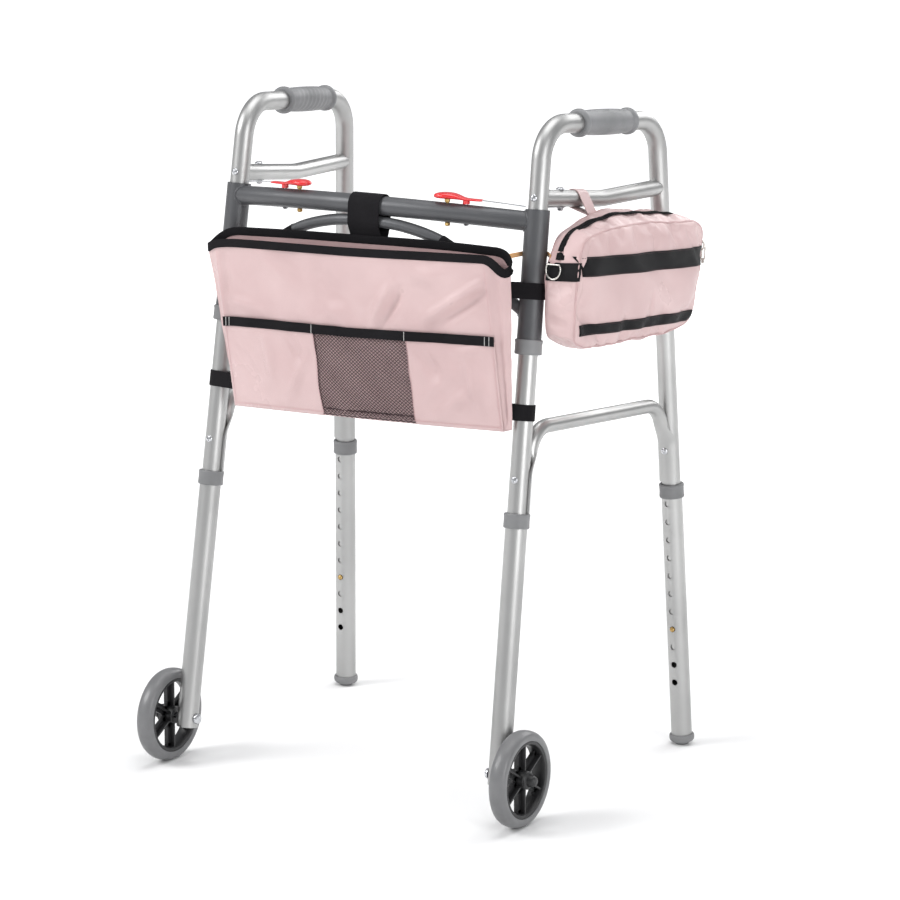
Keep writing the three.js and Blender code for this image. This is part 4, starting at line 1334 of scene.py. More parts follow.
UPPER_FOLDS = (
    ((0.66, 0.82), (0.56, 0.57), 9, 3.4), ((0.69, 0.80), (0.60, 0.57), 7, -2.6),
    ((1.0, 0.88), (0.76, 0.62), 7, 3.0), ((1.0, 0.82), (0.78, 0.57), 8, -2.4),
    ((0.14, 0.97), (0.30, 0.74), 16, 2.2), ((0.0, 0.66), (0.18, 0.60), 9, 1.8),
    ((0.40, 0.93), (0.37, 0.70), 14, -1.8), ((0.86, 0.90), (0.72, 0.86), 12, 1.8),
    ((0.50, 0.66), (0.36, 0.60), 12, 1.6), ((0.03, 0.93), (0.01, 0.60), 9, -2.2),
)
POCKET_FOLDS = (
    ((0.16, 0.46), (0.17, 0.20), 8, 2.6), ((0.31, 0.36), (0.22, 0.08), 8, 2.2),
    ((0.03, 0.40), (0.12, 0.12), 10, -1.8), ((0.24, 0.50), (0.29, 0.30), 7, -1.8),
    ((0.90, 0.42), (0.93, 0.10), 8, 2.6), ((0.92, 0.24), (0.78, 0.06), 9, 2.4),
    ((0.72, 0.48), (0.80, 0.26), 9, -1.8), ((0.70, 0.12), (0.86, 0.34), 10, 1.6),
    ((0.97, 0.50), (0.86, 0.44), 7, 1.8),
)


def edge_fade(value, width):
    return smooth_step(value / width) * smooth_step((1 - value) / width)


def front_bulge(u, v):
    """How far the front panel stands out from its flat shape, in millimetres."""
    x, z = u * TOTE_WIDTH, v * TOTE_HEIGHT
    drift = noise.noise(Vector((x / 95, z / 60, 2.3))) * 3.6
    drift += noise.noise(Vector(((x + z) / 34, (x - z) / 70, 7.1))) * 2.2
    shape = drift + 3.0 * math.sin(math.pi * u) * math.sin(math.pi * min(1.0, v * 1.1))
    shape += sum(fold(u, v, *entry) for entry in UPPER_FOLDS)
    return shape * edge_fade(u, 0.03) * smooth_step((1 - v) / 0.06) * smooth_step(v / 0.05)


def on_front(u, v, lift=0.0):
    """A point of the front panel, by its share of the width and of the height."""
    place = u * FRONT_STEPS
    k = min(int(place), FRONT_STEPS - 1)
    top = rim_loop[k].lerp(rim_loop[k + 1], place - k)
    low = base_loop[k].lerp(base_loop[k + 1], place - k)
    return low.lerp(top, v) - Vector((0, (front_bulge(u, v) + lift) * MM, 0))


def baked(piece):
    """The piece with its modifiers worked into the mesh and removed."""
    graph = bpy.context.evaluated_depsgraph_get()
    mesh = bpy.data.meshes.new_from_object(piece.evaluated_get(graph))
    piece.modifiers.clear()
    piece.data = mesh
    return piece


def thickened(piece, thickness, offset=-1, rim_material=None):
    """Cloth with real thickness and closed edges."""
    work = piece.modifiers.new("thickness", "SOLIDIFY")
    work.thickness = thickness * MM
    work.offset = offset
    if rim_material is not None:
        piece.data.materials.append(rim_material)
        work.material_offset = 1
    return baked(piece)


def tote_shell():
    rings = []
    count = len(rim_loop)
    for row in range(TOTE_ROWS + 1):
        v = row / TOTE_ROWS
        ring = []
        for k in range(count):
            if k <= FRONT_STEPS:
                ring.append(on_front(k / FRONT_STEPS, v))
                continue
            point = base_loop[k].lerp(rim_loop[k], v)
            if FRONT_STEPS + GUSSET_STEPS < k < count - GUSSET_STEPS:
                sway = noise.noise(Vector((point.x * 14, 4.0, point.z * 18))) * 1.6
                point = point + Vector((0, sway * MM * smooth_step((1 - v) / 0.1), 0))
            else:
                pinch = math.sin(math.pi * v) * noise.noise(Vector((9.0, 1.0, v * 7.0))) * 2.2
                near_front = min(k - FRONT_STEPS, count - k)
                groove = 3.4 * math.exp(-((near_front - 3) / 2.2) ** 2) * edge_fade(v, 0.12)
                point = point + Vector((pinch, groove, 0)) * MM
            ring.append(point)
        rings.append(ring)
    shell = loft("tote_body", rings, PINK_NYLON, capped=False, crease=60)
    work = bmesh.new()
    work.from_mesh(shell.data)
    low = [edge for edge in work.edges if edge.is_boundary and edge.verts[0].co.z < 0.6]
    bmesh.ops.contextual_create(work, geom=low)
    bmesh.ops.recalc_face_normals(work, faces=work.faces)
    work.normal_update()
    front_y = at(0, -64, 0).y
    front = [face for face in work.faces if face.calc_center_median().y < front_y]
    forward = sum(face.normal.y * face.calc_area() for face in front)
    if forward > 0:
        bmesh.ops.reverse_faces(work, faces=work.faces)
    work.to_mesh(shell.data)
    work.free()
    return thickened(shell, 0.9, -1, LINING)


tote = tote_shell()
settle(tote, "front_frame", "nylon_fabric", "tote_bag")


def pocket_lift(u, v, first, last):
    """Pocket cloth stands off the panel and falls in its own folds."""
    share = (u - first) / (last - first)
    puff = 3.4 * math.sin(math.pi * share) * math.sin(math.pi * min(1.0, v / POCKET_TOP))
    own = sum(fold(u, v, *entry) for entry in POCKET_FOLDS)
    own *= smooth_step((POCKET_TOP - v) / 0.09)
    return 1.5 + max(-0.9, (puff + own) * edge_fade(share, 0.08) * smooth_step(v / 0.06))


def pocket(name, first, last, columns, rows):
    grid = []
    for row in range(rows + 1):
        v = POCKET_TOP * row / rows
        line = []
        for k in range(columns + 1):
            u = first + (last - first) * k / columns
            line.append(on_front(u, v, pocket_lift(u, v, first, last)))
        grid.append(line)
    return thickened(
        loft(name, grid, PINK_NYLON, round_section=False, capped=False, crease=60), 0.7, 0
    )


for name, first, last in (("left", 0.0, NET_LEFT), ("right", NET_RIGHT, 1.0)):
    cloth = pocket(f"tote_{name}_pocket", first, last, 70, 56)
    settle(cloth, "front_frame", "nylon_fabric")


def strand_tree():
    """Every edge of the host becomes a round cord of a given radius."""
    tree, given = geometry_tree("round_strands", ("Radius", "NodeSocketFloat", 0.0005))
    line = put(tree, "GeometryNodeMeshToCurve", {"Mesh": given["Geometry"]})
    section = put(tree, "GeometryNodeCurvePrimitiveCircle", {
        "Resolution": 6, "Radius": given["Radius"],
    })
    cord = put(tree, "GeometryNodeCurveToMesh", {
        "Curve": line.outputs["Curve"], "Profile Curve": section.outputs["Curve"],
    })
    return close_tree(tree, given, cord.outputs["Mesh"])


def row_along(tree, given, shape):
    """The shape at an even step along every line of the host, turned with the line."""
    line = put(tree, "GeometryNodeMeshToCurve", {"Mesh": given["Geometry"]})
    spread = put(tree, "GeometryNodeCurveToPoints", {
        "Curve": line.outputs["Curve"], "Length": given["Step"],
    }, mode="LENGTH")
    row = stamped(tree, spread.outputs["Points"], shape, spread.outputs["Rotation"])
    return close_tree(tree, given, row)


def stitch_tree():
    """Short rounded stitches in a row."""
    tree, given = geometry_tree(
        "running_stitch", ("Step", "NodeSocketFloat", 0.003),
        ("Length", "NodeSocketFloat", 0.0022), ("Radius", "NodeSocketFloat", 0.00035),
    )
    thread = put(tree, "GeometryNodeMeshCylinder", {
        "Vertices": 8, "Depth": given["Length"], "Radius": given["Radius"],
    })
    return row_along(tree, given, thread.outputs["Mesh"])


STRANDS = strand_tree()
STITCHES = stitch_tree()


def lines_mesh(lines):
    """Polylines as one mesh of edges."""
    mesh = bpy.data.meshes.new("lines")
    points, edges = [], []
    for line in lines:
        edges += [(len(points) + k, len(points) + k + 1) for k in range(len(line) - 1)]
        points += [tuple(point) for point in line]
    mesh.from_pydata(points, edges, [])
    return mesh


def stitched(name, body, slot, lines, material, step=3.2, length=2.3, radius=0.3):
    row = run_tree(
        STITCHES, name, lines_mesh(lines), Step=step * MM, Length=length * MM,
        Radius=radius * MM, Material=material,
    )
    return settle(row, body, slot)


def net_point(column, row, columns, rows):
    u = NET_LEFT + (NET_RIGHT - NET_LEFT) * column / columns
    v = 0.02 + (POCKET_TOP - 0.03) * row / rows
    share = column / columns
    sag = 4.0 * math.sin(math.pi * share) * math.sin(math.pi * min(1.0, v / POCKET_TOP)) + 1.2
    return on_front(u, v, sag)


NET_COLUMNS = 26
NET_ROWS = 48
net_lines = []
for start_column in range(-NET_ROWS // 2, NET_COLUMNS + 1):
    for lean in (0.5, -0.5):
        first = start_column if lean > 0 else start_column + NET_ROWS // 2
        line = [
            net_point(first + lean * row, row, NET_COLUMNS, NET_ROWS)
            for row in range(NET_ROWS + 1) if 0 <= first + lean * row <= NET_COLUMNS
        ]
        if len(line) > 1:
            net_lines.append(line)
net = run_tree(
    STRANDS, "tote_net", lines_mesh(net_lines), Radius=0.45 * MM, Material=NET_CORD
)
settle(net, "front_frame", "black_webbing")


def ribbon(name, path, widths, thickness, material, across, crease=30, looped=False):
    """A flat woven band along a path: `across` gives the direction of its width at a point."""
    rings = []
    last = len(path) - 1
    for i, point in enumerate(path):
        before = path[i - 1] if looped or i else path[0]
        after = path[(i + 1) % len(path)] if looped or i < last else path[last]
        tangent = (after - before).normalized()
        wide = square_to(tangent, across(i))
        thick = tangent.cross(wide)
        half_w = (widths[i] if hasattr(widths, "__len__") else widths) * MM / 2
        half_t = thickness * MM / 2
        outline = ((-1, -0.5), (-0.985, -0.9), (-0.93, -1), (-0.5, -1), (0, -1), (0.5, -1),
                   (0.93, -1), (0.985, -0.9), (1, -0.5), (1, 0.5), (0.985, 0.9), (0.93, 1),
                   (0.5, 1), (0, 1), (-0.5, 1), (-0.93, 1), (-0.985, 0.9), (-1, 0.5))
        rings.append([point + wide * half_w * a + thick * half_t * b for a, b in outline])
    return loft(name, rings, material, looped=looped, crease=crease)


# the binding folds over the raw rim all the way round
count = len(rim_loop)
rim_path = [
    (rim_loop[k - 2] + rim_loop[k - 1] + rim_loop[k] + rim_loop[(k + 1) % count]
     + rim_loop[(k + 2) % count]) / 5 - UP * 2.2 * MM
    for k in range(count)
]
binding = ribbon(
    "tote_binding", rim_path, 11.0, 3.6, BLACK_WEB, lambda k: UP, crease=50, looped=True
)
settle(binding, "front_frame", "black_webbing")

# the pocket band runs across the front, is tacked down at both ends and at the pocket seams
BAND_LIFT = 3.2
band_path = [on_front(k / 120, POCKET_TOP, BAND_LIFT) for k in range(121)]
pocket_band = ribbon("tote_pocket_band", band_path, 12.6, 1.2, BLACK_WEB, lambda k: UP)
settle(pocket_band, "front_frame", "black_webbing")
tacks = []
for u in (0.012, 0.024, NET_LEFT, NET_RIGHT, 0.968, 0.984):
    middle = on_front(u, POCKET_TOP, BAND_LIFT + 0.9)
    tacks.append([middle + UP * (-5.4 + 10.8 * k / 8) * MM for k in range(9)])
stitched("tote_bartacks", "front_frame", "nylon_fabric", tacks, WHITE_THREAD, 1.0, 1.1, 0.34)

# seams: gusset edges, pocket sides and floor, and the net's gathered hem
seams = []
for u, lift in ((0.008, 2.6), (0.992, 2.6)):
    seams.append([on_front(u, 0.02 + 0.92 * k / 60, lift) for k in range(61)])
for first, last in ((0.01, NET_LEFT), (NET_RIGHT, 0.99)):
    floor_line = []
    for k in range(41):
        u = first + (last - first) * k / 40
        floor_line.append(on_front(u, 0.022, 2.6))
    seams.append(floor_line)
    edge = last if first < 0.3 else first
    seams.append([on_front(edge, 0.02 + 0.48 * k / 40, 2.4) for k in range(41)])
stitched("tote_seam_stitches", "front_frame", "nylon_fabric", seams, PINK_THREAD)
for row_v, name in ((0.012, "lower"), (0.046, "upper")):
    hem = [
        net_point(30 * k / 60, 0, 30, NET_ROWS) + Vector((0, -0.4 * MM, 0))
        + UP * (row_v * TOTE_HEIGHT - 4.6 + 0.7 * math.sin(k * 1.9)) * MM
        for k in range(61)
    ]
    cord = run_tree(
        STRANDS, f"tote_net_hem_{name}", lines_mesh([hem]), Radius=1.0 * MM, Material=NET_CORD
    )
    settle(cord, "front_frame", "black_webbing")

# ---------- tote straps ----------
# Black webbing closed with hook and loop tape: a wide band over the bar and the arch in the
# middle, a ring round each sleeve, a ring round each front upright, and two small arch loops.
STRAP_WIDTH = 21
UPPER_STRAP_Z = 680
LOWER_STRAP_Z = {"left": 524, "right": 529}


def tie_loop(name, centre, along, radius, anchor, spread, width, material=BLACK_WEB):
    """A band that leaves an anchor, goes round a post and comes back to the anchor."""
    reach = anchor - centre
    reach = reach - along * reach.dot(along)
    heading = reach.normalized()
    beside = along.cross(heading)
    touch = math.acos(min(0.999, radius * MM / reach.length))
    path = []
    steps = 44
    for k in range(steps + 1):
        angle = touch + (math.tau - 2 * touch) * k / steps
        path.append(centre + (heading * math.cos(angle) + beside * math.sin(angle)) * radius * MM)
    level = along * (anchor - centre).dot(along)
    near = anchor + beside * spread * MM
    far = anchor - beside * spread * MM
    lead = [near.lerp(path[0] + level, k / 6) for k in range(6)]
    tail = [(path[-1] + level).lerp(far, k / 6) for k in range(1, 7)]
    whole = lead + [point + level for point in path] + tail
    return ribbon(name, whole, width, 1.3, material, lambda k: along)


for side, name in SIDES:
    tube_up = -down_of(front_at, side)
    outer = 229 if side > 0 else 226
    ring = tie_loop(
        f"tote_upper_{name}_loop", front_at(side, UPPER_STRAP_Z), tube_up, SLEEVE_R + 1.2,
        at(side * (outer - 10), -57, UPPER_STRAP_Z + (6 if side > 0 else 0)), 1.0, STRAP_WIDTH,
    )
    settle(ring, "front_frame", "black_webbing", f"tote_upper_{name}_strap")
    level = LOWER_STRAP_Z[name]
    anchor_x = 226 if side > 0 else -203
    ring = tie_loop(
        f"tote_lower_{name}_loop", front_at(side, level), tube_up, TUBE_R + 1.1,
        at(anchor_x, -60.5, level), 1.0, STRAP_WIDTH,
    )
    settle(ring, "front_frame", "black_webbing", f"tote_lower_{name}_strap")

CENTRE_BAND_R = 14.9
bar_y, bar_z = -40.4, BAR_Z + BAR_RISE
centre_path = [at(1, -50.4, 716), at(1, -50.2, 730), at(1, -50.6, 738), at(1, -54.0, 745)]
centre_path += [at(1, -56.6, 752), at(1, -56.4, 759), at(1, -56.0, 767)]
for k in range(31):
    angle = math.radians(176 - 216 * k / 30)
    centre_path.append(
        at(1, bar_y + CENTRE_BAND_R * math.cos(angle), bar_z + CENTRE_BAND_R * math.sin(angle))
    )
centre_path += [at(4, -33.2, 757), at(6, -37.5, 747), at(8, -44.0, 739), at(8, -47.6, 730)]
centre_path.append(at(8, -48.2, 716))
centre_band = ribbon(
    "tote_centre_band", centre_path, 48, 1.5, BLACK_WEB, lambda k: Vector((1, 0, 0))
)
settle(centre_band, "front_frame", "black_webbing", "tote_centre_strap")

for name, x, z, arch_z in (("left", -122, 728, 730.5), ("right", 116, 732, 733.6)):
    middle = arch_at(x, arch_z)
    beyond = arch_at(x + 4, arch_z - 2.2 * math.copysign(1, x))
    loop = tie_loop(
        f"tote_arch_loop_{name}", middle, (beyond - middle).normalized(), ARCH_R + 0.9,
        at(x, -50.2, z - 6), 0.8, 19,
    )
    settle(loop, "front_frame", "black_webbing")

# ---------- side pouch ----------
# A zipped pink nylon bag that hangs outside the right side frame, lightly stuffed, so its panels
# crown between piped seams. Black bands are sewn across it, a D-ring hangs from a tab at the
# front end, a ring with two swivel hooks hangs at the rear, and a nylon loop goes over the brace.
POUCH_INNER = (
    (-30, 632), (-27, 688), (-16, 728), (10, 752), (50, 766), (92, 772), (160, 766), (222, 757),
    (260, 743), (267, 715), (257, 660), (246, 625), (236, 612), (160, 606), (60, 608), (-16, 620),
)
POUCH_OUTER = (
    (-38, 622), (-31, 668), (-22, 718), (-10, 744), (14, 754), (82, 757), (137, 754), (208, 747),
    (258, 741), (272, 730), (267, 700), (252, 655), (240, 620), (226, 608), (160, 605), (0, 611),
)
POUCH_IN = 24
POUCH_OUT = 72
POUCH_COUNT = 168
POUCH_VOXEL = 0.005
POUCH_CAP = 0.008


def pouch_outline(share):
    """The bag's outline at a share of its depth, from the frame side to the outer face."""
    inner = [on_side(1, y, z, POUCH_IN) for y, z in POUCH_INNER]
    outer = [on_side(1, y, z, POUCH_OUT) for y, z in POUCH_OUTER]
    mixed = [a.lerp(b, share) for a, b in zip(inner, outer)]
    return smooth_path(mixed + mixed[:1], POUCH_COUNT + 1)[:-1]


pouch_outward = (on_side(1, 120, 700, 50) - on_side(1, 120, 700, 0)).normalized()


def pouch_shape():
    """The unstuffed bag: two faces, a crowned side panel, and rounded seams."""
    rings = []
    inner, outer = pouch_outline(0), pouch_outline(1)
    inner_middle = sum(inner, Vector()) / POUCH_COUNT
    outer_middle = sum(outer, Vector()) / POUCH_COUNT
    for step in range(1, 13):
        share = step / 13
        rings.append([inner_middle.lerp(point, share) for point in inner])
    for step in range(17):
        share = step / 16
        ring = pouch_outline(share)
        middle = inner_middle.lerp(outer_middle, share)
        crown = 3.0 * math.sin(math.pi * share)
        rings.append([point + (point - middle).normalized() * crown * MM for point in ring])
    for step in range(12, 0, -1):
        share = step / 13
        puff = 4.0 * (1 - share ** 2.4)
        rings.append([
            outer_middle.lerp(point, share) + pouch_outward * puff * MM for point in outer
        ])
    return loft("side_pouch_body", rings, PINK_NYLON, crease=180)


def remeshed(piece, voxel):
    work = piece.modifiers.new("even_mesh", "REMESH")
    work.mode = "VOXEL"
    work.voxel_size = voxel
    work.use_smooth_shade = True
    return baked(piece)


def stuffed(piece, seams):
    """The bag filled out by pressure from inside, its seams held, as cut cloth would be."""
    pins = piece.vertex_groups.new(name="seams")
    seam_points = [point for seam in seams for point in seam]
    held = []
    for vertex in piece.data.vertices:
        near = min((vertex.co - point).length_squared for point in seam_points[::2])
        if near < 0.004 ** 2:
            held.append(vertex.index)
    pins.add(held, 1.0, "REPLACE")
    start_shape = [vertex.co.copy() for vertex in piece.data.vertices]
    cloth = piece.modifiers.new("stuffing", "CLOTH")
    settings = cloth.settings
    settings.quality = 6
    settings.mass = 0.3
    settings.tension_stiffness = 12
    settings.compression_stiffness = 10
    settings.shear_stiffness = 4
    settings.bending_stiffness = 0.25
    settings.use_pressure = True
    settings.uniform_pressure_force = 4
    settings.shrink_min = -0.05
    settings.shrink_max = -0.05
    settings.vertex_group_mass = "seams"
    settings.effector_weights.gravity = 0
    cloth.collision_settings.use_collision = False
    cloth.collision_settings.use_self_collision = False
    cloth.point_cache.frame_start = 1
    cloth.point_cache.frame_end = 20
    scene = bpy.context.scene
    for frame_number in range(1, 21):
        scene.frame_set(frame_number)
    piece = baked(piece)
    scene.frame_set(1)
    for vertex, start in zip(piece.data.vertices, start_shape):
        moved = vertex.co - start
        if moved.length > POUCH_CAP:
            vertex.co = start + moved.normalized() * POUCH_CAP
    return piece


def puckered(piece):
    """Gathers under the top seam and over the low band, and creases out of the corners."""
    piece.data.update()
    normals = [vertex.normal.copy() for vertex in piece.data.vertices]
    for vertex, normal in zip(piece.data.vertices, normals):
        place = (vertex.co + ORIGIN) / MM
        facing = max(0.0, normal.dot(pouch_outward))
        top = math.exp(-((752 - place.z) / 30) ** 2)
        low = math.exp(-((place.z - 612) / 20) ** 2)
        gathers = noise.noise(Vector((place.y / 15, place.z / 75, 3.1))) * 6.5 * (top + 0.5 * low)
        slack = noise.noise(Vector(((place.y + place.z) / 40, (place.y - place.z) / 85, 8.4))) * 4.6
        skew = noise.noise(Vector((place.y / 28, place.x / 60, place.z / 34))) * 3.2
        vertex.co += normal * (facing * (gathers + slack) + (1 - facing) * skew) * MM
    return piece


pouch = remeshed(pouch_shape(), POUCH_VOXEL)
pouch = stuffed(pouch, [pouch_outline(0), pouch_outline(1)])
pouch = puckered(pouch)
rounding = pouch.modifiers.new("rounding", "SUBSURF")
rounding.levels = 1
rounding.render_levels = 1
pouch = baked(pouch)
pouch.data.shade_smooth()
if not pouch.data.materials:
    pouch.data.materials.append(PINK_NYLON)
pouch_uv = pouch.data.uv_layers.new(name="UVMap")
for corner in pouch.data.loops:
    point = pouch.data.vertices[corner.vertex_index].co
    pouch_uv.data[corner.index].uv = (point.y, point.z + point.x * 0.35)
settle(pouch, "right_side_frame", "nylon_fabric", "side_pouch")
skin = BVHTree.FromPolygons(
    [vertex.co for vertex in pouch.data.vertices], [tuple(f.vertices) for f in pouch.data.polygons]
)


def on_skin(point, lift, direction=None):
    """The bag's surface under a point (or along a direction towards it), lifted a little."""
    if direction is not None:
        found = skin.ray_cast(point - direction * 0.08, direction, 0.16)
        if found[0] is not None:
            return found[0] - direction * lift * MM, -direction
    place, normal, _, _ = skin.find_nearest(point)
    return place + normal * lift * MM, normal


def laid_band(name, points, half, thickness, material, lift, wide, direction=None):
    """A band sewn down flat on the bag along the given points, `wide` giving its width direction."""
    columns = 10
    grid = []
    for point in points:
        line = []
        for k in range(columns + 1):
            offset = wide * half * (2 * k / columns - 1) * MM
            line.append(on_skin(point + offset, lift, direction)[0])
        grid.append(line)
    for _ in range(3):
        inner = grid[1:-1]
        smoothed = [
            [(a + b * 2 + c) / 4 for a, b, c in zip(before, line, after)]
            for before, line, after in zip(grid[:-2], inner, grid[2:])
        ]
        grid = [grid[0]] + smoothed + [grid[-1]]
    cloth = loft(name, grid, material, round_section=False, capped=False, crease=60)
    return thickened(cloth, thickness, 0)


BAND_LEATHER = cloth_finish(
    "black_coated_tape", (0.010, 0.0095, 0.011), (0.006, 0.006, 0.007), 0.45, 500.0, 0.0, 0.00025,
    Specular_IOR_Level=0.16,
)
NICKEL = plated("nickel_wire", (0.72, 0.7, 0.66), (0.55, 0.53, 0.5), 0.18, 0.3)

# piping along both seams
for name, share in (("outer", 0.985), ("inner", 0.02)):
    line = [on_skin(point, 0.2)[0] for point in pouch_outline(share)]
    line = [(line[k - 1] + line[k] + line[(k + 1) % len(line)]) / 3 for k in range(len(line))]
    rings = []
    for k, point in enumerate(line):
        tangent = (line[(k + 1) % len(line)] - line[k - 1]).normalized()
        across = square_to(tangent, pouch_outward)
        rings.append(circle((point, tangent, across, tangent.cross(across)), 1.25, 10))
    piping = loft(f"pouch_{name}_piping", rings, LINING, looped=True, crease=80)
    settle(piping, "right_side_frame", "nylon_fabric")

# the big face's band, the band round the front end and the low coated band
face_ways = -pouch_outward


def face_line(start, end, steps):
    (y0, z0), (y1, z1) = start, end
    return [
        on_side(1, y0 + (y1 - y0) * k / steps, z0 + (z1 - z0) * k / steps, POUCH_OUT)
        for k in range(steps + 1)
    ]


wide_band = laid_band(
    "pouch_wide_band", face_line((-21, 717.5), (266, 696), 70), 12.5, 1.2, BAND_LEATHER, 0.9,
    UP, face_ways,
)
settle(wide_band, "right_side_frame", "black_webbing")
low_band = laid_band(
    "pouch_low_band", face_line((-30, 637), (236, 620), 70), 7, 1.2, BAND_LEATHER, 0.9,
    UP, face_ways,
)
settle(low_band, "right_side_frame", "black_webbing")
end_points = []
for k in range(31):
    out = POUCH_IN + 2 + (POUCH_OUT - POUCH_IN + 0.5) * k / 30
    end_points.append(on_side(1, -26, 709 + 2 * k / 30, out))
backwards = Vector((0, 1, 0))
end_band = laid_band(
    "pouch_end_band", end_points, 11.5, 1.2, BAND_LEATHER, 0.9, UP, backwards
)
settle(end_band, "right_side_frame", "black_webbing")
band_seams = []
for start, end, half in (((-17, 717), (262, 696), 11), ((-27, 637), (232, 620), 5.6)):
    for way in (-1, 1):
        offset = UP * way * half * MM
        band_seams.append([
            on_skin(point + offset, 1.6, face_ways)[0] for point in face_line(start, end, 50)
        ])
stitched(
    "pouch_band_stitches", "right_side_frame", "black_webbing", band_seams, NET_CORD, 3.4, 2.3, 0.28
)

# the zipper runs from the front end up and over the top, with its coil
ZIP_SHARE = 0.46
zip_outline = pouch_outline(ZIP_SHARE)
zip_line = [point for point in zip_outline[:90] if (point.z > 0.722 or point.y > 0.05)]
zip_places = [on_skin(point, 0.5) for point in zip_line]
zip_path = [place for place, _ in zip_places]
for _ in range(6):
    zip_path = [zip_path[0]] + [
        (zip_path[k - 1] + zip_path[k] * 2 + zip_path[k + 1]) / 4
        for k in range(1, len(zip_path) - 1)
    ] + [zip_path[-1]]
zip_tape = ribbon(
    "pouch_zip_tape", zip_path, 12, 1.3, BLACK_WEB, lambda k: pouch_outward
)
settle(zip_tape, "right_side_frame", "black_webbing")
coil_line = []
for k, point in enumerate(zip_path):
    coil_line.append(point + zip_places[k][1] * 1.1 * MM)


def teeth_tree():
    """Zipper teeth: small blocks across the line."""
    tree, given = geometry_tree(
        "zipper_teeth", ("Step", "NodeSocketFloat", 0.0018), ("Width", "NodeSocketFloat", 0.0042)
    )
    size = put(tree, "ShaderNodeCombineXYZ", {"X": given["Width"], "Y": 0.0012, "Z": 0.0011})
    tooth = put(tree, "GeometryNodeMeshCube", {"Size": size.outputs["Vector"]})
    return row_along(tree, given, tooth.outputs["Mesh"])


teeth = run_tree(
    teeth_tree(), "pouch_zip_teeth", lines_mesh([coil_line]), Step=1.9 * MM, Width=4.0 * MM,
    Material=BAND_LEATHER,
)
settle(teeth, "right_side_frame", "black_webbing")


def wire(name, points, radius, material, closed=True, count=10):
    """A round wire along a line."""
    rings = []
    last = len(points) - 1
    normal = pouch_outward
    for k, point in enumerate(points):
        before = points[k - 1] if closed or k else points[0]
        after = points[(k + 1) % len(points)] if closed or k < last else points[last]
        tangent = (after - before).normalized()
        normal = square_to(tangent, normal)
        rings.append(circle((point, tangent, normal, tangent.cross(normal)), radius, count))
    return loft(name, rings, material, looped=closed, crease=80)


# the front tab and its D-ring
tab_top, _ = on_skin(on_side(1, -26, 730, 40), 1.2, backwards)
tab_low = tab_top + Vector((0, -4.5, -11)) * MM
tab_path = [
    tab_top + Vector((0, 1.0, 5)) * MM, tab_top, tab_top.lerp(tab_low, 0.5) - Vector((0, 1.4, 0)) * MM,
    tab_low, tab_low + Vector((0, 2.2, -1.4)) * MM, tab_low + Vector((0, 3.6, 1.2)) * MM,
    tab_top + Vector((0, 1.4, -4)) * MM,
]
tab = ribbon(
    "pouch_ring_tab", smooth_path(tab_path, 24), 16, 1.1, LINING, lambda k: pouch_outward
)
settle(tab, "right_side_frame", "nylon_fabric")
ring_middle = tab_low + Vector((0, -5.0, -6.5)) * MM
ring_line = []
for k in range(36):
    angle = math.tau * k / 36
    high = math.sin(angle)
    rise = 6.6 if high > 0.55 else 12.0 * high
    ring_line.append(
        ring_middle + pouch_outward * 10.5 * math.cos(angle) * MM + UP * rise * MM
        + Vector((0, -1.2 + 0.12 * rise, 0)) * MM
    )
d_ring = wire("pouch_d_ring", ring_line, 1.15, NICKEL)
settle(d_ring, "right_side_frame", "zinc_steel")

# the rear ring with two swivel hooks
rear_place, _ = on_skin(on_side(1, 262, 712, 62), 1.0, -backwards)
for name, drop, turn, long_r, wide_r in (
    ("ring", -5, 0.3, 8.5, 8.5), ("hook_left", -16, 1.2, 12, 5.2), ("hook_right", -15, -0.5, 12.5, 5.4),
):
    middle = rear_place + Vector((0, 5.0 if name == "ring" else 8.5, drop)) * MM
    flat = Vector((math.cos(turn), math.sin(turn), 0))
    if name == "hook_right":
        middle += Vector((3.5, 4.5, 1.0)) * MM
    line = [
        middle + flat * wide_r * math.cos(math.tau * k / 32) * MM
        + UP * long_r * math.sin(math.tau * k / 32) * MM
        for k in range(32)
    ]
    piece = wire(f"pouch_rear_{name}", line, 1.15, NICKEL)
    settle(piece, "right_side_frame", "zinc_steel")
    if name != "ring":
        swivel = turned(
            f"pouch_rear_{name}_swivel",
            [(0, -16.5), (1.6, -16.3), (2.3, -14.5), (1.4, -12.5), (2.5, -11.5), (2.5, -9.5), (0, -9)],
            middle, UP, NICKEL, 20,
        )
        settle(swivel, "right_side_frame", "zinc_steel")

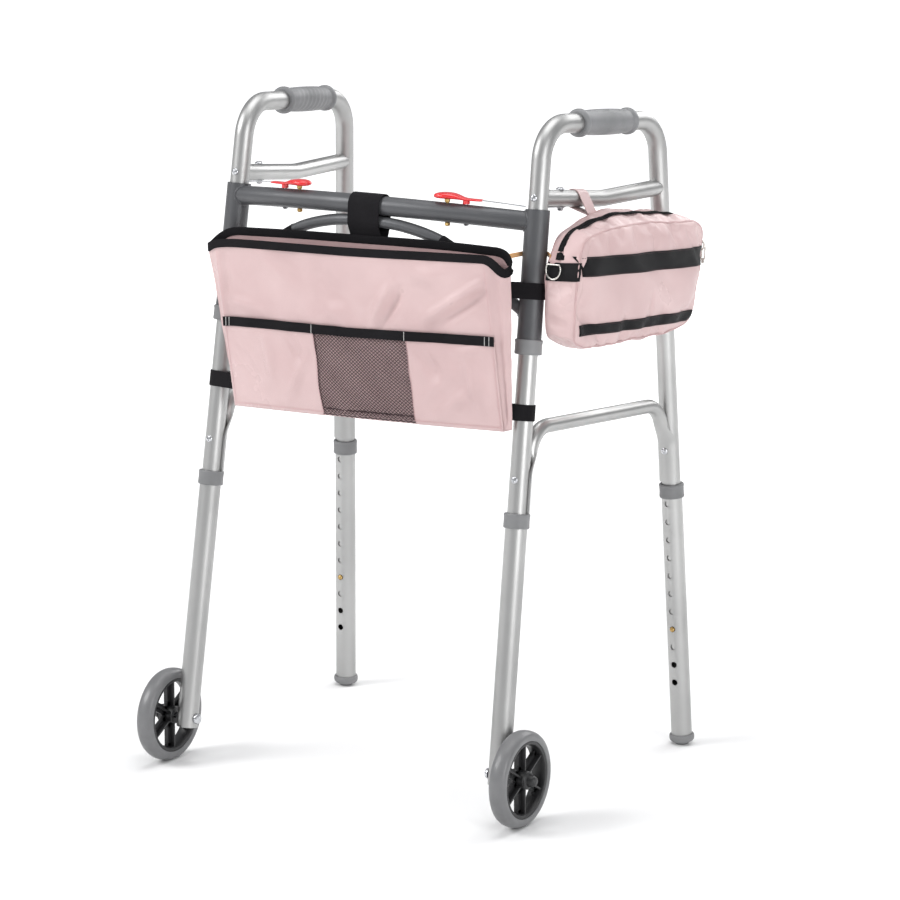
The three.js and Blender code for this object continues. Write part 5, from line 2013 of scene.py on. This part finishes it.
# the nylon loop over the brace
LOOP_Y = 82
loop_centre = on_side(1, LOOP_Y, 787.4)
brace_along = (on_side(1, 141, 780.5) - on_side(1, 0, 797)).normalized()
seat, _ = on_skin(on_side(1, LOOP_Y, 770, 24.5), 0.2, Vector((0, 0, -1)))
hanging = tie_loop(
    "pouch_hanging_band", loop_centre, brace_along, UPPER_BRACE_R + 1.0, seat, 0.8, 22, PINK_NYLON
)
settle(hanging, "right_side_frame", "nylon_fabric", "pouch_hanging_loop")

# ---------- latch plates ----------
# Where each strip meets its side frame, a small plated catch is held under the handle brace by the
# brace bolt and reaches forward along the outside of the front tube.
for side, name in SIDES:
    low = on_side(side, BRACE_BOLT[0], BRACE_BOLT[1] - 11.9)
    fore = on_side(side, 17, 783.5)
    plate = strip_path_piece(
        f"{name}_latch_plate", low + Vector((0, 7, 0)) * MM, fore, 7, 1.1, SPRING_STEEL
    )
    settle(plate, f"{name}_side_frame", "spring_steel")

# ---------- tie strap ----------
# A narrow tan leather tie runs from the tote's right rim, round the back of the right sleeve, to
# the front end of the pouch.
TIE_Z = 726
TIE_R = 17.8
TAN_LEATHER = cloth_finish(
    "tan_leather", (0.85, 0.5, 0.24), (0.75, 0.4, 0.17), 0.5, 700.0, 0.0, 0.0001,
)
tie_centre = front_at(1, TIE_Z)
tie_start = at(211, -50.2, TIE_Z)
tie_end, _ = on_skin(on_side(1, -22, TIE_Z, 28), 0.8, Vector((0, 1, 0)))


def touch_angle(point, way):
    reach = point - tie_centre
    flat = math.hypot(reach.x, reach.y)
    return math.atan2(reach.y, reach.x) + way * math.acos(min(0.999, TIE_R * MM / flat))


first_angle = touch_angle(tie_start, -1) % math.tau
last_angle = touch_angle(tie_end, 1)
tie_path = []
for k in range(31):
    angle = first_angle + (last_angle - first_angle) * k / 30
    tie_path.append(
        tie_centre + Vector((math.cos(angle), math.sin(angle), 0)) * TIE_R * MM
    )
tie_path = (
    [tie_start.lerp(tie_path[0], k / 8) for k in range(8)] + tie_path
    + [tie_path[-1].lerp(tie_end, k / 5) for k in range(1, 6)]
)
tie = ribbon("pouch_tie_strap", tie_path, 6, 1.6, TAN_LEATHER, lambda k: UP)
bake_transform(tie)
